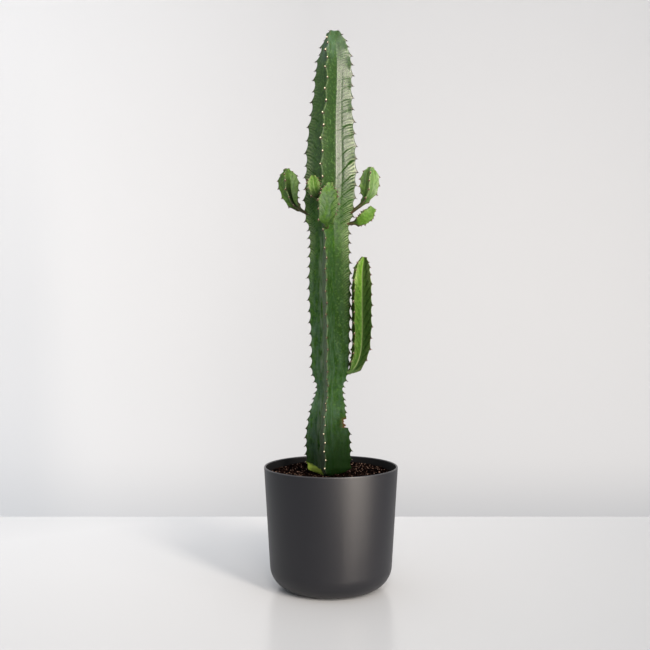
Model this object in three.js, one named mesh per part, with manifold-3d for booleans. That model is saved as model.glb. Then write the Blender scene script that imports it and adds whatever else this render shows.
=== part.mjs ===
// A potted euphorbia: a round pot, its potting mix, one four-winged main stem and six arms.
// Lengths are millimetres and angles are degrees. +Z is up and -Y is the front of the plant.
// The origin is the middle of the pot's foot, on the surface that the pot stands on.

import * as THREE from "three";
import { LoftGeometry } from "three/addons/geometries/LoftGeometry.js";
import { mergeVertices } from "three/addons/utils/BufferGeometryUtils.js";
import Module from "manifold-3d";

const wasm = await Module();
wasm.setup();

// ---------------------------------------------------------------- driving dimensions

const TOUCHING_GAP = 0.3; // kept between two pieces that rest against each other

const POT = {
  height: 163,
  rimRadius: 90,
  wallFootRadius: 80.3, // where the straight wall would meet the floor
  footBend: 31.6, // radius of the rounded foot
  wall: 2.4,
  bendSteps: 6,
  sides: 52,
};

const SOIL = {
  levelAtWall: 149.5,
  levelAtStem: 151,
  moundRadius: 55, // the mix lies level inside this radius and falls to the wall outside it
  sides: 36,
};

// The main stem's buried foot stands in a plain hole in the potting mix.
const STEM_FOOT = {
  x: -3,
  y: 0,
  radius: 10.8,
  bottom: 120,
};

const RIBS = 4; // front, right, back, left

// The section of a stem. Reach is the distance from the centreline to a wing's edge.
const SECTION = {
  coreShare: 0.43, // radius of the grooves between the wings, as a share of the reach
  flankAt: 0.5, // where a flank is broken, from the groove to the crest
  flankFill: 0.88, // below 1 the flanks are hollow
  toothPinch: 0.5, // width of a crest at its teeth, as a share of the width between them
};

// Teeth on neighbouring wings stand a third of a tooth apart.
const RINGS_PER_TOOTH = 3;
const TOOTH_RING_OF_RIB = [0, 2, 0, 1];

// The growing tip of a stem, measured back from its end.
const TIP = {
  lastRing: 3,
  lastTooth: 3.9,
  lastSpine: 2,
};

const CURVE_STEPS = 80; // samples along a centreline
const MERGE_DISTANCE = 0.001;

const SPINE = {
  rootRadius: 0.75,
  length: 6.3, // of which the root is sunk into the tooth
  sunk: 1.8,
  spread: 36, // to each side of the wing
  droop: 18,
  sides: 3,
  clearOfOthers: 3, // a spine stays this far from another stem's wings
};

// Each table below is a list of [station, value]. A station is a distance along the centreline,
// counted from `from`, so that the main stem's stations are heights above the pot's foot.
const MAIN_STEM = {
  from: STEM_FOOT.bottom,
  line: [
    [STEM_FOOT.x, STEM_FOOT.y, STEM_FOOT.bottom],
    [-3, 0, 165],
    [-4.4, 0, 223],
    [-1.6, 0, 268],
    [-1, 0, 332],
    [-2, 0, 410],
    [-2.2, 0, 467],
    [-3, 0, 505],
    [-0.6, 0, 550],
    [0, 0, 612],
    [2.6, 0, 675],
    [4.4, 0, 743],
  ],
  reach: [
    [152, 15],
    [156, 24],
    [161, 28.5],
    [180, 29.6],
    [205, 29],
    [223, 26],
    [247, 21.5],
    [268, 17.2],
    [282, 21.5],
    [293, 24.8],
    [325, 25.2],
    [386, 27.2],
    [413, 27.4],
    [450, 26.2],
    [480, 26.5],
    [494, 30.5],
    [505, 33.2],
    [554, 34.8],
    [595, 33.4],
    [635, 28.8],
    [667, 25.8],
    [697, 25],
    [712, 23.2],
    [724, 19.8],
    [734, 15.5],
    [740, 10.5],
    [743, 5.5],
  ],
  turn: [
    [152, -8.5],
    [440, -9.5],
    [482, -14],
    [520, -18],
    [600, -20],
    [665, -18],
    [700, -22],
    [743, -30],
  ],
  spacing: [
    [165, 11.2],
    [205, 11.5],
    [240, 8.6],
    [270, 7.8],
    [290, 13],
    [305, 15.6],
    [400, 15],
    [440, 13.4],
    [488, 11],
    [505, 14],
    [530, 16.6],
    [600, 17],
    [680, 14],
    [722, 10],
    [743, 7],
  ],
  round: [
    [151.2, 1],
    [152.4, 0.5],
    [154, 0],
  ],
  coreShare: SECTION.coreShare,
  leastCore: STEM_FOOT.radius,
  firstTooth: 165,
  lastTooth: 736,
  plainRings: [120, 123, 151.2, 152.4, 156, 160.5],
  toothHeight: 2.1,
  crestWidth: 2.6,
  zigzag: 1.2, // the crest swings this far to each side, from tooth to tooth
  notches: [{ rib: 1, from: 214.5, to: 229, depth: 6 }], // an old scar on the right wing
};

// An arm starts inside the wing that bears it, on a narrow round neck.
const ARM_DEFAULTS = {
  from: 0,
  coreShare: SECTION.coreShare,
  leastCore: 0,
  toothHeight: 1.5,
  crestWidth: 2.2,
  zigzag: 0.6,
  notches: [],
};

const ARMS = {
  arm_left: {
    line: [
      [-27, 6, 499],
      [-35, 9.5, 504.5],
      [-45, 13, 511.5],
      [-52, 15, 520],
      [-56, 16, 532],
      [-58, 16, 547],
      [-60, 16, 563],
    ],
    reach: [
      [0, 4],
      [20, 4.4],
      [28, 6],
      [34, 8.2],
      [47, 11.7],
      [60, 14.4],
      [68, 12.6],
      [74, 9],
      [78, 4.5],
    ],
    turn: [[0, -15]],
    spacing: [[0, 12.5], [78, 11]],
    round: [[0, 1], [16, 0.8], [26, 0]],
    firstTooth: 28,
    lastTooth: 74,
    plainRings: [0, 9, 18, 23],
  },
  shoot_front_left: {
    line: [
      [-9, -23, 517],
      [-15, -27, 520],
      [-20.5, -28.5, 526],
      [-23, -29, 535],
      [-24, -29, 546.5],
    ],
    reach: [[0, 3.6], [8, 4.4], [15, 7.4], [24, 9.6], [31, 9], [35, 7], [37, 4.4]],
    turn: [[0, -40]],
    spacing: [[0, 8.5], [37, 7.5]],
    round: [[0, 1], [7, 0.9], [14, 0]],
    firstTooth: 16,
    lastTooth: 33,
    plainRings: [0, 6, 11],
  },
  arm_front: {
    line: [
      [-6, -22, 482],
      [-6.2, -34, 486.5],
      [-5.2, -43, 495],
      [-4, -46, 507],
      [-3, -46, 521],
      [-2, -45, 535],
    ],
    reach: [[0, 4.5], [12, 5.4], [20, 10.5], [32, 15.6], [44, 17], [55, 13.6], [61, 9], [65, 5]],
    turn: [[0, -45]],
    spacing: [[0, 11], [64, 9.5]],
    round: [[0, 1], [12, 0.9], [20, 0.15], [26, 0]],
    coreShare: 0.7,
    firstTooth: 24,
    lastTooth: 62,
    plainRings: [0, 6, 12, 18],
  },
  arm_right_upper: {
    line: [
      [24, -7, 500],
      [32, -10, 506.5],
      [41, -12.5, 513.5],
      [47, -14, 521.5],
      [50, -15, 532],
      [51.5, -15, 545],
      [52.3, -15, 560],
    ],
    reach: [
      [0, 4],
      [24, 4.2],
      [32, 5.6],
      [37, 8.8],
      [44, 11.6],
      [56, 12.2],
      [64, 10.6],
      [69, 7.6],
      [72, 4.4],
    ],
    turn: [[0, -3]],
    spacing: [[0, 11.5], [73, 10.5]],
    round: [[0, 1], [20, 0.9], [29, 0]],
    coreShare: 0.56,
    firstTooth: 33,
    lastTooth: 70,
    plainRings: [0, 10, 20, 28],
  },
  arm_right_lower: {
    line: [
      [20, -6, 487.5],
      [29, -9, 488.5],
      [37, -11, 490.5],
      [44, -13, 494.5],
      [50, -14.5, 500],
      [54.5, -15.5, 506],
    ],
    reach: [[0, 3.6], [11, 4.4], [19, 7.6], [28, 10.4], [36, 10], [41.5, 6.5]],
    turn: [[0, -42]],
    spacing: [[0, 9.5], [42, 8.5]],
    round: [[0, 1], [9, 0.9], [17, 0]],
    coreShare: 0.66,
    firstTooth: 19,
    lastTooth: 39,
    plainRings: [0, 7, 13],
  },
  arm_right_large: {
    line: [
      [15, -2, 287],
      [22.5, -3, 288.5],
      [29, -4, 293],
      [35, -5, 303],
      [39.3, -5, 318],
      [41, -5, 342],
      [41, -5, 372],
      [41, -5, 402],
      [41.4, -5, 425],
      [44, -5, 441.5],
    ],
    reach: [
      [0, 5],
      [10, 6],
      [20, 9.4],
      [34, 12.6],
      [55, 14.6],
      [85, 15.8],
      [120, 15.8],
      [142, 14.4],
      [156, 11.4],
      [164, 7.5],
      [168, 4.5],
    ],
    turn: [[0, -38]],
    spacing: [[0, 12], [60, 14.4], [140, 13.4], [168, 9]],
    round: [[0, 1], [10, 0.7], [20, 0]],
    firstTooth: 26,
    lastTooth: 164,
    plainRings: [0, 7, 14, 20],
  },
};

const FINISH = {
  pot: { color: 0x3f4043, roughness: 0.42, metalness: 0 },
  soil: { color: 0x3a2a22, roughness: 0.95, metalness: 0 },
  main_stem: { color: 0x2f5a37, roughness: 0.5, metalness: 0 },
  arm: { color: 0x5c8a45, roughness: 0.5, metalness: 0 },
};

// ---------------------------------------------------------------- helpers

const radians = THREE.MathUtils.degToRad;
const mix = THREE.MathUtils.lerp;

// Reads a table at a station: a smooth curve through its points, level beyond its ends.
function read(table, station) {
  const last = table.length - 1;
  if (station <= table[0][0]) return table[0][1];
  if (station >= table[last][0]) return table[last][1];
  const i = table.findIndex(([at]) => at > station) - 1;
  const [from, low] = table[i];
  const [to, high] = table[i + 1];
  const span = to - from;
  const step = (station - from) / span;
  const startSlope = slopeAt(table, i) * span;
  const endSlope = slopeAt(table, i + 1) * span;
  const rise = high - low;
  const square = 3 * rise - 2 * startSlope - endSlope;
  const cubic = startSlope + endSlope - 2 * rise;
  return low + step * (startSlope + step * (square + step * cubic));
}

// The slope of a table at one of its points: level where the values turn back.
function slopeAt(table, i) {
  if (i === 0 || i === table.length - 1) return 0;
  const before = (table[i][1] - table[i - 1][1]) / (table[i][0] - table[i - 1][0]);
  const after = (table[i + 1][1] - table[i][1]) / (table[i + 1][0] - table[i][0]);
  return before * after <= 0 ? 0 : (2 * before * after) / (before + after);
}

function solidOf(geometry) {
  const bare = new THREE.BufferGeometry();
  bare.setAttribute("position", geometry.getAttribute("position"));
  bare.setIndex(geometry.index);
  const merged = mergeVertices(bare, MERGE_DISTANCE);
  return new wasm.Manifold(
    new wasm.Mesh({
      numProp: 3,
      vertProperties: merged.getAttribute("position").array,
      triVerts: new Uint32Array(merged.index.array),
    }),
  );
}

function geometryOf(solid) {
  const mesh = solid.getMesh();
  const positions = new Float32Array(mesh.numVert * 3);
  for (let i = 0; i < mesh.numVert; i++) {
    positions.set(mesh.vertProperties.subarray(i * mesh.numProp, i * mesh.numProp + 3), i * 3);
  }
  const geometry = new THREE.BufferGeometry();
  geometry.setAttribute("position", new THREE.BufferAttribute(positions, 3));
  geometry.setIndex(new THREE.BufferAttribute(new Uint32Array(mesh.triVerts), 1));
  geometry.computeVertexNormals();
  return geometry;
}

function named(name, solid, finish) {
  const mesh = new THREE.Mesh(geometryOf(solid), new THREE.MeshStandardMaterial(finish));
  mesh.name = name;
  return mesh;
}

// A turned solid about the vertical, from a half section that starts and ends on the axis.
function turned(halfSection, sides) {
  return solidOf(new THREE.LatheGeometry(halfSection, sides).rotateX(Math.PI / 2));
}

// ---------------------------------------------------------------- pot and potting mix

// The line that lies `inset` inside the pot's outer face, from the axis out and up to `top`.
function potLine(inset, top) {
  const lean = Math.atan((POT.rimRadius - POT.wallFootRadius) / POT.height);
  const bendX = POT.wallFootRadius + POT.footBend * (Math.tan(lean) - 1 / Math.cos(lean));
  const bend = POT.footBend - inset;
  const line = [new THREE.Vector2(0, inset)];
  for (let i = 0; i <= POT.bendSteps; i++) {
    const angle = -Math.PI / 2 + ((Math.PI / 2 - lean) * i) / POT.bendSteps;
    line.push(new THREE.Vector2(bendX + bend * Math.cos(angle), POT.footBend + bend * Math.sin(angle)));
  }
  line.push(new THREE.Vector2(POT.wallFootRadius + top * Math.tan(lean) - inset / Math.cos(lean), top));
  return line;
}

function makePot() {
  const shoulder = POT.height - POT.wall / 2;
  const outside = potLine(0, shoulder);
  const inside = potLine(POT.wall, shoulder).reverse();
  const lip = new THREE.Vector2((outside.at(-1).x + inside[0].x) / 2, POT.height);
  return turned([...outside, lip, ...inside], POT.sides);
}

function makeSoil() {
  const fill = potLine(POT.wall + TOUCHING_GAP, SOIL.levelAtWall);
  const mound = new THREE.Vector2(SOIL.moundRadius, SOIL.levelAtStem);
  const middle = new THREE.Vector2(0, SOIL.levelAtStem);
  const heap = turned([...fill, mound, middle], SOIL.sides);
  const hole = new THREE.CylinderGeometry(
    STEM_FOOT.radius + TOUCHING_GAP,
    STEM_FOOT.radius + TOUCHING_GAP,
    2 * (SOIL.levelAtStem - STEM_FOOT.bottom + TOUCHING_GAP),
    SOIL.sides,
  );
  hole.rotateX(Math.PI / 2).translate(STEM_FOOT.x, STEM_FOOT.y, SOIL.levelAtStem);
  return heap.subtract(solidOf(hole));
}

// ---------------------------------------------------------------- stem and arms

// A stem with four wings, swept along a centreline. The wings are counted from the front.
class WingedStem {
  constructor(plan) {
    this.plan = plan;
    const points = plan.line.map((place) => new THREE.Vector3(...place));
    this.curve = new THREE.CatmullRomCurve3(points, false, "centripetal");
    this.length = this.curve.getLength();
    this.fronts = this.carryFront();
    this.teeth = this.placeTeeth();
  }

  // The front direction, carried down from the tip without any twist of its own.
  carryFront() {
    const fronts = new Array(CURVE_STEPS + 1);
    let front = new THREE.Vector3(0, -1, 0);
    for (let i = CURVE_STEPS; i >= 0; i--) {
      const tangent = this.curve.getTangentAt(i / CURVE_STEPS);
      front = front.clone().projectOnPlane(tangent).normalize();
      fronts[i] = front;
    }
    return fronts;
  }

  // Stations of the front wing's teeth.
  placeTeeth() {
    const teeth = [this.plan.firstTooth];
    while (teeth.at(-1) < this.plan.lastTooth) {
      teeth.push(teeth.at(-1) + read(this.plan.spacing, teeth.at(-1)));
    }
    return teeth;
  }

  frame(station) {
    const along = THREE.MathUtils.clamp((station - this.plan.from) / this.length, 0, 1);
    const tangent = this.curve.getTangentAt(along);
    const carried = this.fronts[Math.round(along * CURVE_STEPS)];
    const front = carried.clone().projectOnPlane(tangent).normalize();
    const side = new THREE.Vector3().crossVectors(tangent, front);
    return { centre: this.curve.getPointAt(along), tangent, front, side };
  }

  // The directions out along a wing and across it.
  wing(frame, station, rib) {
    const angle = radians(read(this.plan.turn, station) + (360 / RIBS) * rib);
    const out = frame.front.clone().multiplyScalar(Math.cos(angle));
    out.addScaledVector(frame.side, Math.sin(angle));
    const across = new THREE.Vector3().crossVectors(frame.tangent, out);
    return { out, across };
  }

  notchAt(station, rib) {
    const cuts = this.plan.notches.filter((notch) => notch.rib === rib);
    const cut = cuts.find(({ from, to }) => station > from && station < to);
    return cut ? cut.depth : 0;
  }

  // Rings of the skin: plain ones at the ends, and several for each tooth.
  rings() {
    const rings = this.plan.plainRings.map((station) => ({ station }));
    for (let tooth = 0; tooth + 1 < this.teeth.length; tooth++) {
      const pitch = this.teeth[tooth + 1] - this.teeth[tooth];
      for (let step = 0; step < RINGS_PER_TOOTH; step++) {
        rings.push({ station: this.teeth[tooth] + (pitch * step) / RINGS_PER_TOOTH, tooth, step });
      }
    }
    const end = this.plan.from + this.length;
    const kept = rings.filter(({ station }) => station < end - TIP.lastTooth);
    kept.push({ station: end - TIP.lastRing }, { station: end });
    return kept.sort((a, b) => a.station - b.station);
  }

  // The outline of the skin at a ring. It is `grow` larger all round, and `round` blends it
  // from the winged outline, at 0, to a circle, at 1.
  section(ring, grow) {
    const { plan } = this;
    const { station } = ring;
    const frame = this.frame(station);
    const plainReach = read(plan.reach, station);
    const core = Math.max(plainReach * plan.coreShare, plan.leastCore) + grow;
    const round = read(plan.round, station);
    const outline = [];
    for (let rib = 0; rib < RIBS; rib++) {
      const { out, across } = this.wing(frame, station, rib);
      const isTooth = ring.step === TOOTH_RING_OF_RIB[rib];
      const swing = isTooth ? plan.zigzag * (ring.tooth % 2 ? 1 : -1) : 0;
      const halfCrest = plan.crestWidth / 2;
      const edge = halfCrest * (isTooth ? SECTION.toothPinch : 1) + grow;
      const reach = plainReach + (isTooth ? plan.toothHeight : 0) - this.notchAt(station, rib) + grow;
      const grooveOut = core * Math.SQRT1_2;
      const flankOut = mix(grooveOut, reach, SECTION.flankAt);
      const flank = mix(grooveOut, halfCrest, SECTION.flankAt) * SECTION.flankFill + grow;
      const corners = [
        [flankOut, -flank],
        [reach, swing - edge],
        [reach, swing + edge],
        [flankOut, flank],
        [grooveOut, grooveOut],
      ];
      corners.forEach(([far, wide], i) => {
        const spread = radians((i - 1.5) * (360 / RIBS / corners.length)); // evenly round a circle
        const roundFar = core * Math.cos(spread);
        const roundWide = core * Math.sin(spread);
        const corner = frame.centre.clone();
        corner.addScaledVector(out, mix(far, roundFar, round));
        corner.addScaledVector(across, mix(wide, roundWide, round));
        outline.push(corner);
      });
    }
    return outline;
  }

  skin(grow = 0) {
    const sections = this.rings().map((ring) => this.section(ring, grow));
    return solidOf(new LoftGeometry(sections, { capStart: true, capEnd: true }));
  }

  // How far a point lies outside this stem's wings, or a negative distance inside them.
  clearance(point) {
    let nearest = Infinity;
    for (let i = 0; i <= CURVE_STEPS; i++) {
      const centre = this.curve.getPointAt(i / CURVE_STEPS);
      const reach = read(this.plan.reach, this.plan.from + (this.length * i) / CURVE_STEPS);
      nearest = Math.min(nearest, centre.distanceTo(point) - reach);
    }
    return nearest;
  }

  // A pair of spines on every second tooth of each wing, alternating from wing to wing.
  spines(others) {
    const spines = [];
    for (let tooth = 0; tooth + 1 < this.teeth.length; tooth++) {
      for (let rib = 0; rib < RIBS; rib++) {
        if ((tooth + rib) % 2) continue;
        const pitch = this.teeth[tooth + 1] - this.teeth[tooth];
        const station = this.teeth[tooth] + (pitch * TOOTH_RING_OF_RIB[rib]) / RINGS_PER_TOOTH;
        if (station > this.plan.from + this.length - TIP.lastSpine) continue;
        if (this.notchAt(station, rib)) continue;
        for (const hand of [-1, 1]) {
          const spine = this.spine(station, rib, tooth, hand);
          if (others.every((other) => other.clearance(spine.tip) > SPINE.clearOfOthers)) {
            spines.push(spine.solid);
          }
        }
      }
    }
    return spines;
  }

  spine(station, rib, tooth, hand) {
    const frame = this.frame(station);
    const { out, across } = this.wing(frame, station, rib);
    const direction = out.clone().multiplyScalar(Math.cos(radians(SPINE.spread)));
    direction.addScaledVector(across, hand * Math.sin(radians(SPINE.spread)));
    direction.addScaledVector(frame.tangent, -Math.sin(radians(SPINE.droop))).normalize();
    const root = frame.centre.clone();
    root.addScaledVector(out, read(this.plan.reach, station) + this.plan.toothHeight - SPINE.sunk);
    root.addScaledVector(across, this.plan.zigzag * (tooth % 2 ? 1 : -1));
    const cone = new THREE.ConeGeometry(SPINE.rootRadius, SPINE.length, SPINE.sides);
    cone.translate(0, SPINE.length / 2, 0);
    cone.applyQuaternion(new THREE.Quaternion().setFromUnitVectors(new THREE.Vector3(0, 1, 0), direction));
    cone.translate(root.x, root.y, root.z);
    return { solid: solidOf(cone), tip: root.addScaledVector(direction, SPINE.length) };
  }
}

function withSpines(stem, skin, others) {
  return stem.spines(others).reduce((body, spine) => body.add(spine), skin);
}

// ---------------------------------------------------------------- the plant in its pot

const plant = new THREE.Group();
plant.add(named("pot", makePot(), FINISH.pot));
plant.add(named("soil", makeSoil(), FINISH.soil));

const mainStem = new WingedStem(MAIN_STEM);
const arms = Object.entries(ARMS).map(([name, plan]) => ({
  name,
  stem: new WingedStem({ ...ARM_DEFAULTS, ...plan }),
}));

const armStems = arms.map(({ stem }) => stem);
plant.add(named("main_stem", withSpines(mainStem, mainStem.skin(), armStems), FINISH.main_stem));

const stemWithGap = mainStem.skin(TOUCHING_GAP);
for (const { name, stem } of arms) {
  const others = [mainStem, ...armStems.filter((other) => other !== stem)];
  const skin = stem.skin().subtract(stemWithGap);
  plant.add(named(name, withSpines(stem, skin, others), FINISH.arm));
}

export default plant;
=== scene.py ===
"""A potted euphorbia: one tall four-winged stem with six arms, in a round satin pot.

The stem and the arms are swept from tables of real sizes, and the rest takes its sizes from the
frame. -Y is the front of the plant, and every finished piece is a plain mesh in metres.
"""

import math

import bpy
import numpy as np
from bpy.props import FloatProperty, FloatVectorProperty, IntProperty, PointerProperty
from bpy.types import Operator, Panel, PropertyGroup
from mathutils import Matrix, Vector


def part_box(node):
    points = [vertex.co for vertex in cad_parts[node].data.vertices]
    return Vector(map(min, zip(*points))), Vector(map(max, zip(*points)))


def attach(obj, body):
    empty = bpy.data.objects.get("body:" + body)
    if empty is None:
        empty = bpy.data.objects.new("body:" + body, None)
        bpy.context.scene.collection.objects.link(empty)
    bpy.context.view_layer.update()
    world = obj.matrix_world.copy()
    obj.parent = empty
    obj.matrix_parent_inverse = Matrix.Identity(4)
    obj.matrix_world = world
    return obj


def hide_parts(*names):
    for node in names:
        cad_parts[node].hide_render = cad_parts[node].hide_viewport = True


bl_info = {
    "name": "Potted euphorbia",
    "version": (1, 0, 0),
    "blender": (4, 5, 0),
    "location": "3D View > Sidebar > Euphorbia",
    "description": "Builds a potted euphorbia round its solid model",
    "category": "Add Mesh",
}

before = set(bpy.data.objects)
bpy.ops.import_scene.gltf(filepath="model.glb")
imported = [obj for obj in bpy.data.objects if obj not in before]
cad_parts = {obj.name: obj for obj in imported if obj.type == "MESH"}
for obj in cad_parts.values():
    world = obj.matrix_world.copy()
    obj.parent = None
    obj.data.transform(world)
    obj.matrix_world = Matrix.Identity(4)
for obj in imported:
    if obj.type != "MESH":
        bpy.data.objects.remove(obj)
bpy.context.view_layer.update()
POT_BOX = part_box("pot")
SOIL_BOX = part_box("soil")

MM = 0.001
BODY = "root"
MATH = "ShaderNodeMath"
VECTOR_MATH = "ShaderNodeVectorMath"
ATTRIBUTE = "GeometryNodeInputNamedAttribute"

# ------------------------------------------------------------------ the plant's tables, in mm

# "line" is the centreline, from foot to tip. Each other table is a list of (station, value). A
# station is a distance along the centreline, counted from "start", so that the main stem's stations
# are heights above the floor.
#
# Form: "reach" is from the centreline to a crest, "core" is the grooves' radius as a share of it,
# "turn" is in degrees, "spacing" is from tooth to tooth, and "round" blends the winged section into
# a round neck. "swing" is how far a crest swings from side to side between its teeth. The flanks'
# folds have "deep" for the one under each tooth and "fine" for those between, both in mm. They run
# from the crest inwards and fall by "fall" teeth on the way to "fold_start", a share of the flank
# counted from the groove, where a crease "crease" mm deep runs along the stem. "spike" is how long
# the spines are, "bead" how large the leaf scars above them and "pale" how pale.
#
# Colour: "young" is 0 on the oldest skin and 1 on the newest, and "shine" is how much polished wax
# lies on it. "cork" is how wide the crests' band of cork is, as a share of a flank.
# "film_and_sheen" is the old skin's dull film, which on the flanks turned from the light also
# paints a pale sheen,
# "bloom" the pale wax on the folds, which also paints the sheen on their ridges, and "seam"
# the same wax in the grooves. "lit_side_shade" is how far the flanks that face the light are
# painted a deeper green, as shade. "dark_front" and "dark_right" are how dark the two flanks
# between the front wing and the right one are painted, as shade where no light reaches them: the
# first is the one on the front wing.
MAIN_STEM = {
    "start": 120,
    "line": [
        (-3, 0, 120), (-3, 0, 165), (-4.4, 0, 223), (-1.6, 0, 268), (-1, 0, 332), (-2, 0, 410),
        (-2.2, 0, 467), (-3, 0, 505), (-0.6, 0, 550), (0, 0, 612), (2.6, 0, 675), (4.2, 0, 715),
        (3.4, 0, 741),
    ],
    "reach": [
        (148, 15), (156, 24), (161, 28.5), (180, 29.6), (205, 29), (223, 26), (247, 21.5),
        (268, 17.2), (282, 21.5), (293, 24.8), (325, 25.2), (386, 27.2), (413, 27.4), (450, 26.2),
        (480, 26.5), (494, 30.5), (505, 33.2), (554, 34.8), (595, 33.4), (635, 28.8), (667, 25.8),
        (697, 25), (706, 24), (714, 22), (721, 20.2), (728, 18), (734, 15.4), (738, 13.2),
        (741, 11.2),
    ],
    "core": [(120, 0.43)],
    "round": [(144, 1), (150, 0.6), (156, 0)],
    "turn": [
        (152, -8.5), (440, -9.5), (482, -14), (520, -18), (600, -20), (665, -18), (700, -22),
        (743, -30),
    ],
    "spacing": [
        (165, 11.2), (205, 11.5), (240, 8.6), (270, 7.8), (290, 13), (305, 15.6), (400, 15),
        (440, 13.4), (488, 11), (505, 14), (530, 16.6), (600, 17), (680, 14), (712, 10.6), (724, 9),
        (741, 7.4),
    ],
    "first_tooth": 165,
    "last_tooth": 740,
    "swing": [(150, 0.55), (440, 0.6), (500, 1)],
    "deep": [
        (150, 0.3), (280, 0.5), (440, 0.7), (500, 1.4), (600, 1.2), (640, 0.9), (680, 0.5),
        (705, 0),
    ],
    "fine": [(150, 0.12), (280, 0.3), (440, 0.5), (500, 0.9), (540, 0.8), (580, 0.45), (700, 0.14)],
    "fall": [
        (150, 0.3), (470, 0.35), (500, 0.95), (540, 0.8), (566, 0.6), (600, 0.45), (640, 0.25),
    ],
    "fold_start": [(150, 0.62), (470, 0.66), (500, 0.34), (743, 0.34)],
    "crease": [(470, 0), (495, 0.5), (550, 1.0), (620, 0.7), (680, 0.4), (712, 0)],
    "spike": [(150, 0.62), (260, 0.66), (330, 0.85), (500, 1)],
    "bead": [(150, 1.4), (225, 1.2), (270, 0.65), (440, 0.7), (520, 1)],
    "pale": [(150, 1), (225, 0.9), (260, 0.2), (400, 0.1), (470, 0.4), (560, 1)],
    "young": [(150, 0), (210, 0.12), (300, 0.4), (470, 0.6), (560, 0.75), (700, 0.85), (743, 1)],
    "shine": [
        (150, 0), (440, 0.04), (480, 0.25), (510, 0.4), (535, 0.7), (560, 1), (620, 0.95),
        (650, 0.9), (725, 1), (741, 0.5),
    ],
    "cork": [(150, 1.4), (230, 1.3), (300, 1.2), (440, 1.1), (480, 0.3), (510, 0)],
    "film_and_sheen": [
        (150, 0.9), (240, 0.85), (300, 0.7), (340, 0.6), (390, 0.45), (450, 0.35), (490, 0.2),
        (540, 0), (690, 0), (725, 0.9),
    ],
    "bloom": [
        (280, 0), (370, 0.08), (430, 0.4), (480, 0.9), (508, 0.85), (527, 0.35), (546, 0.8),
        (581, 1.15), (608, 0.85), (636, 0.25), (662, 0.35), (700, 0.1),
    ],
    "lit_side_shade": [
        (150, 0.72), (275, 0.74), (300, 0.95), (370, 0.95), (440, 0.8), (475, 0.4), (515, 0.4),
        (550, 0.82), (700, 0.75), (735, 0.5),
    ],
}

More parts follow.
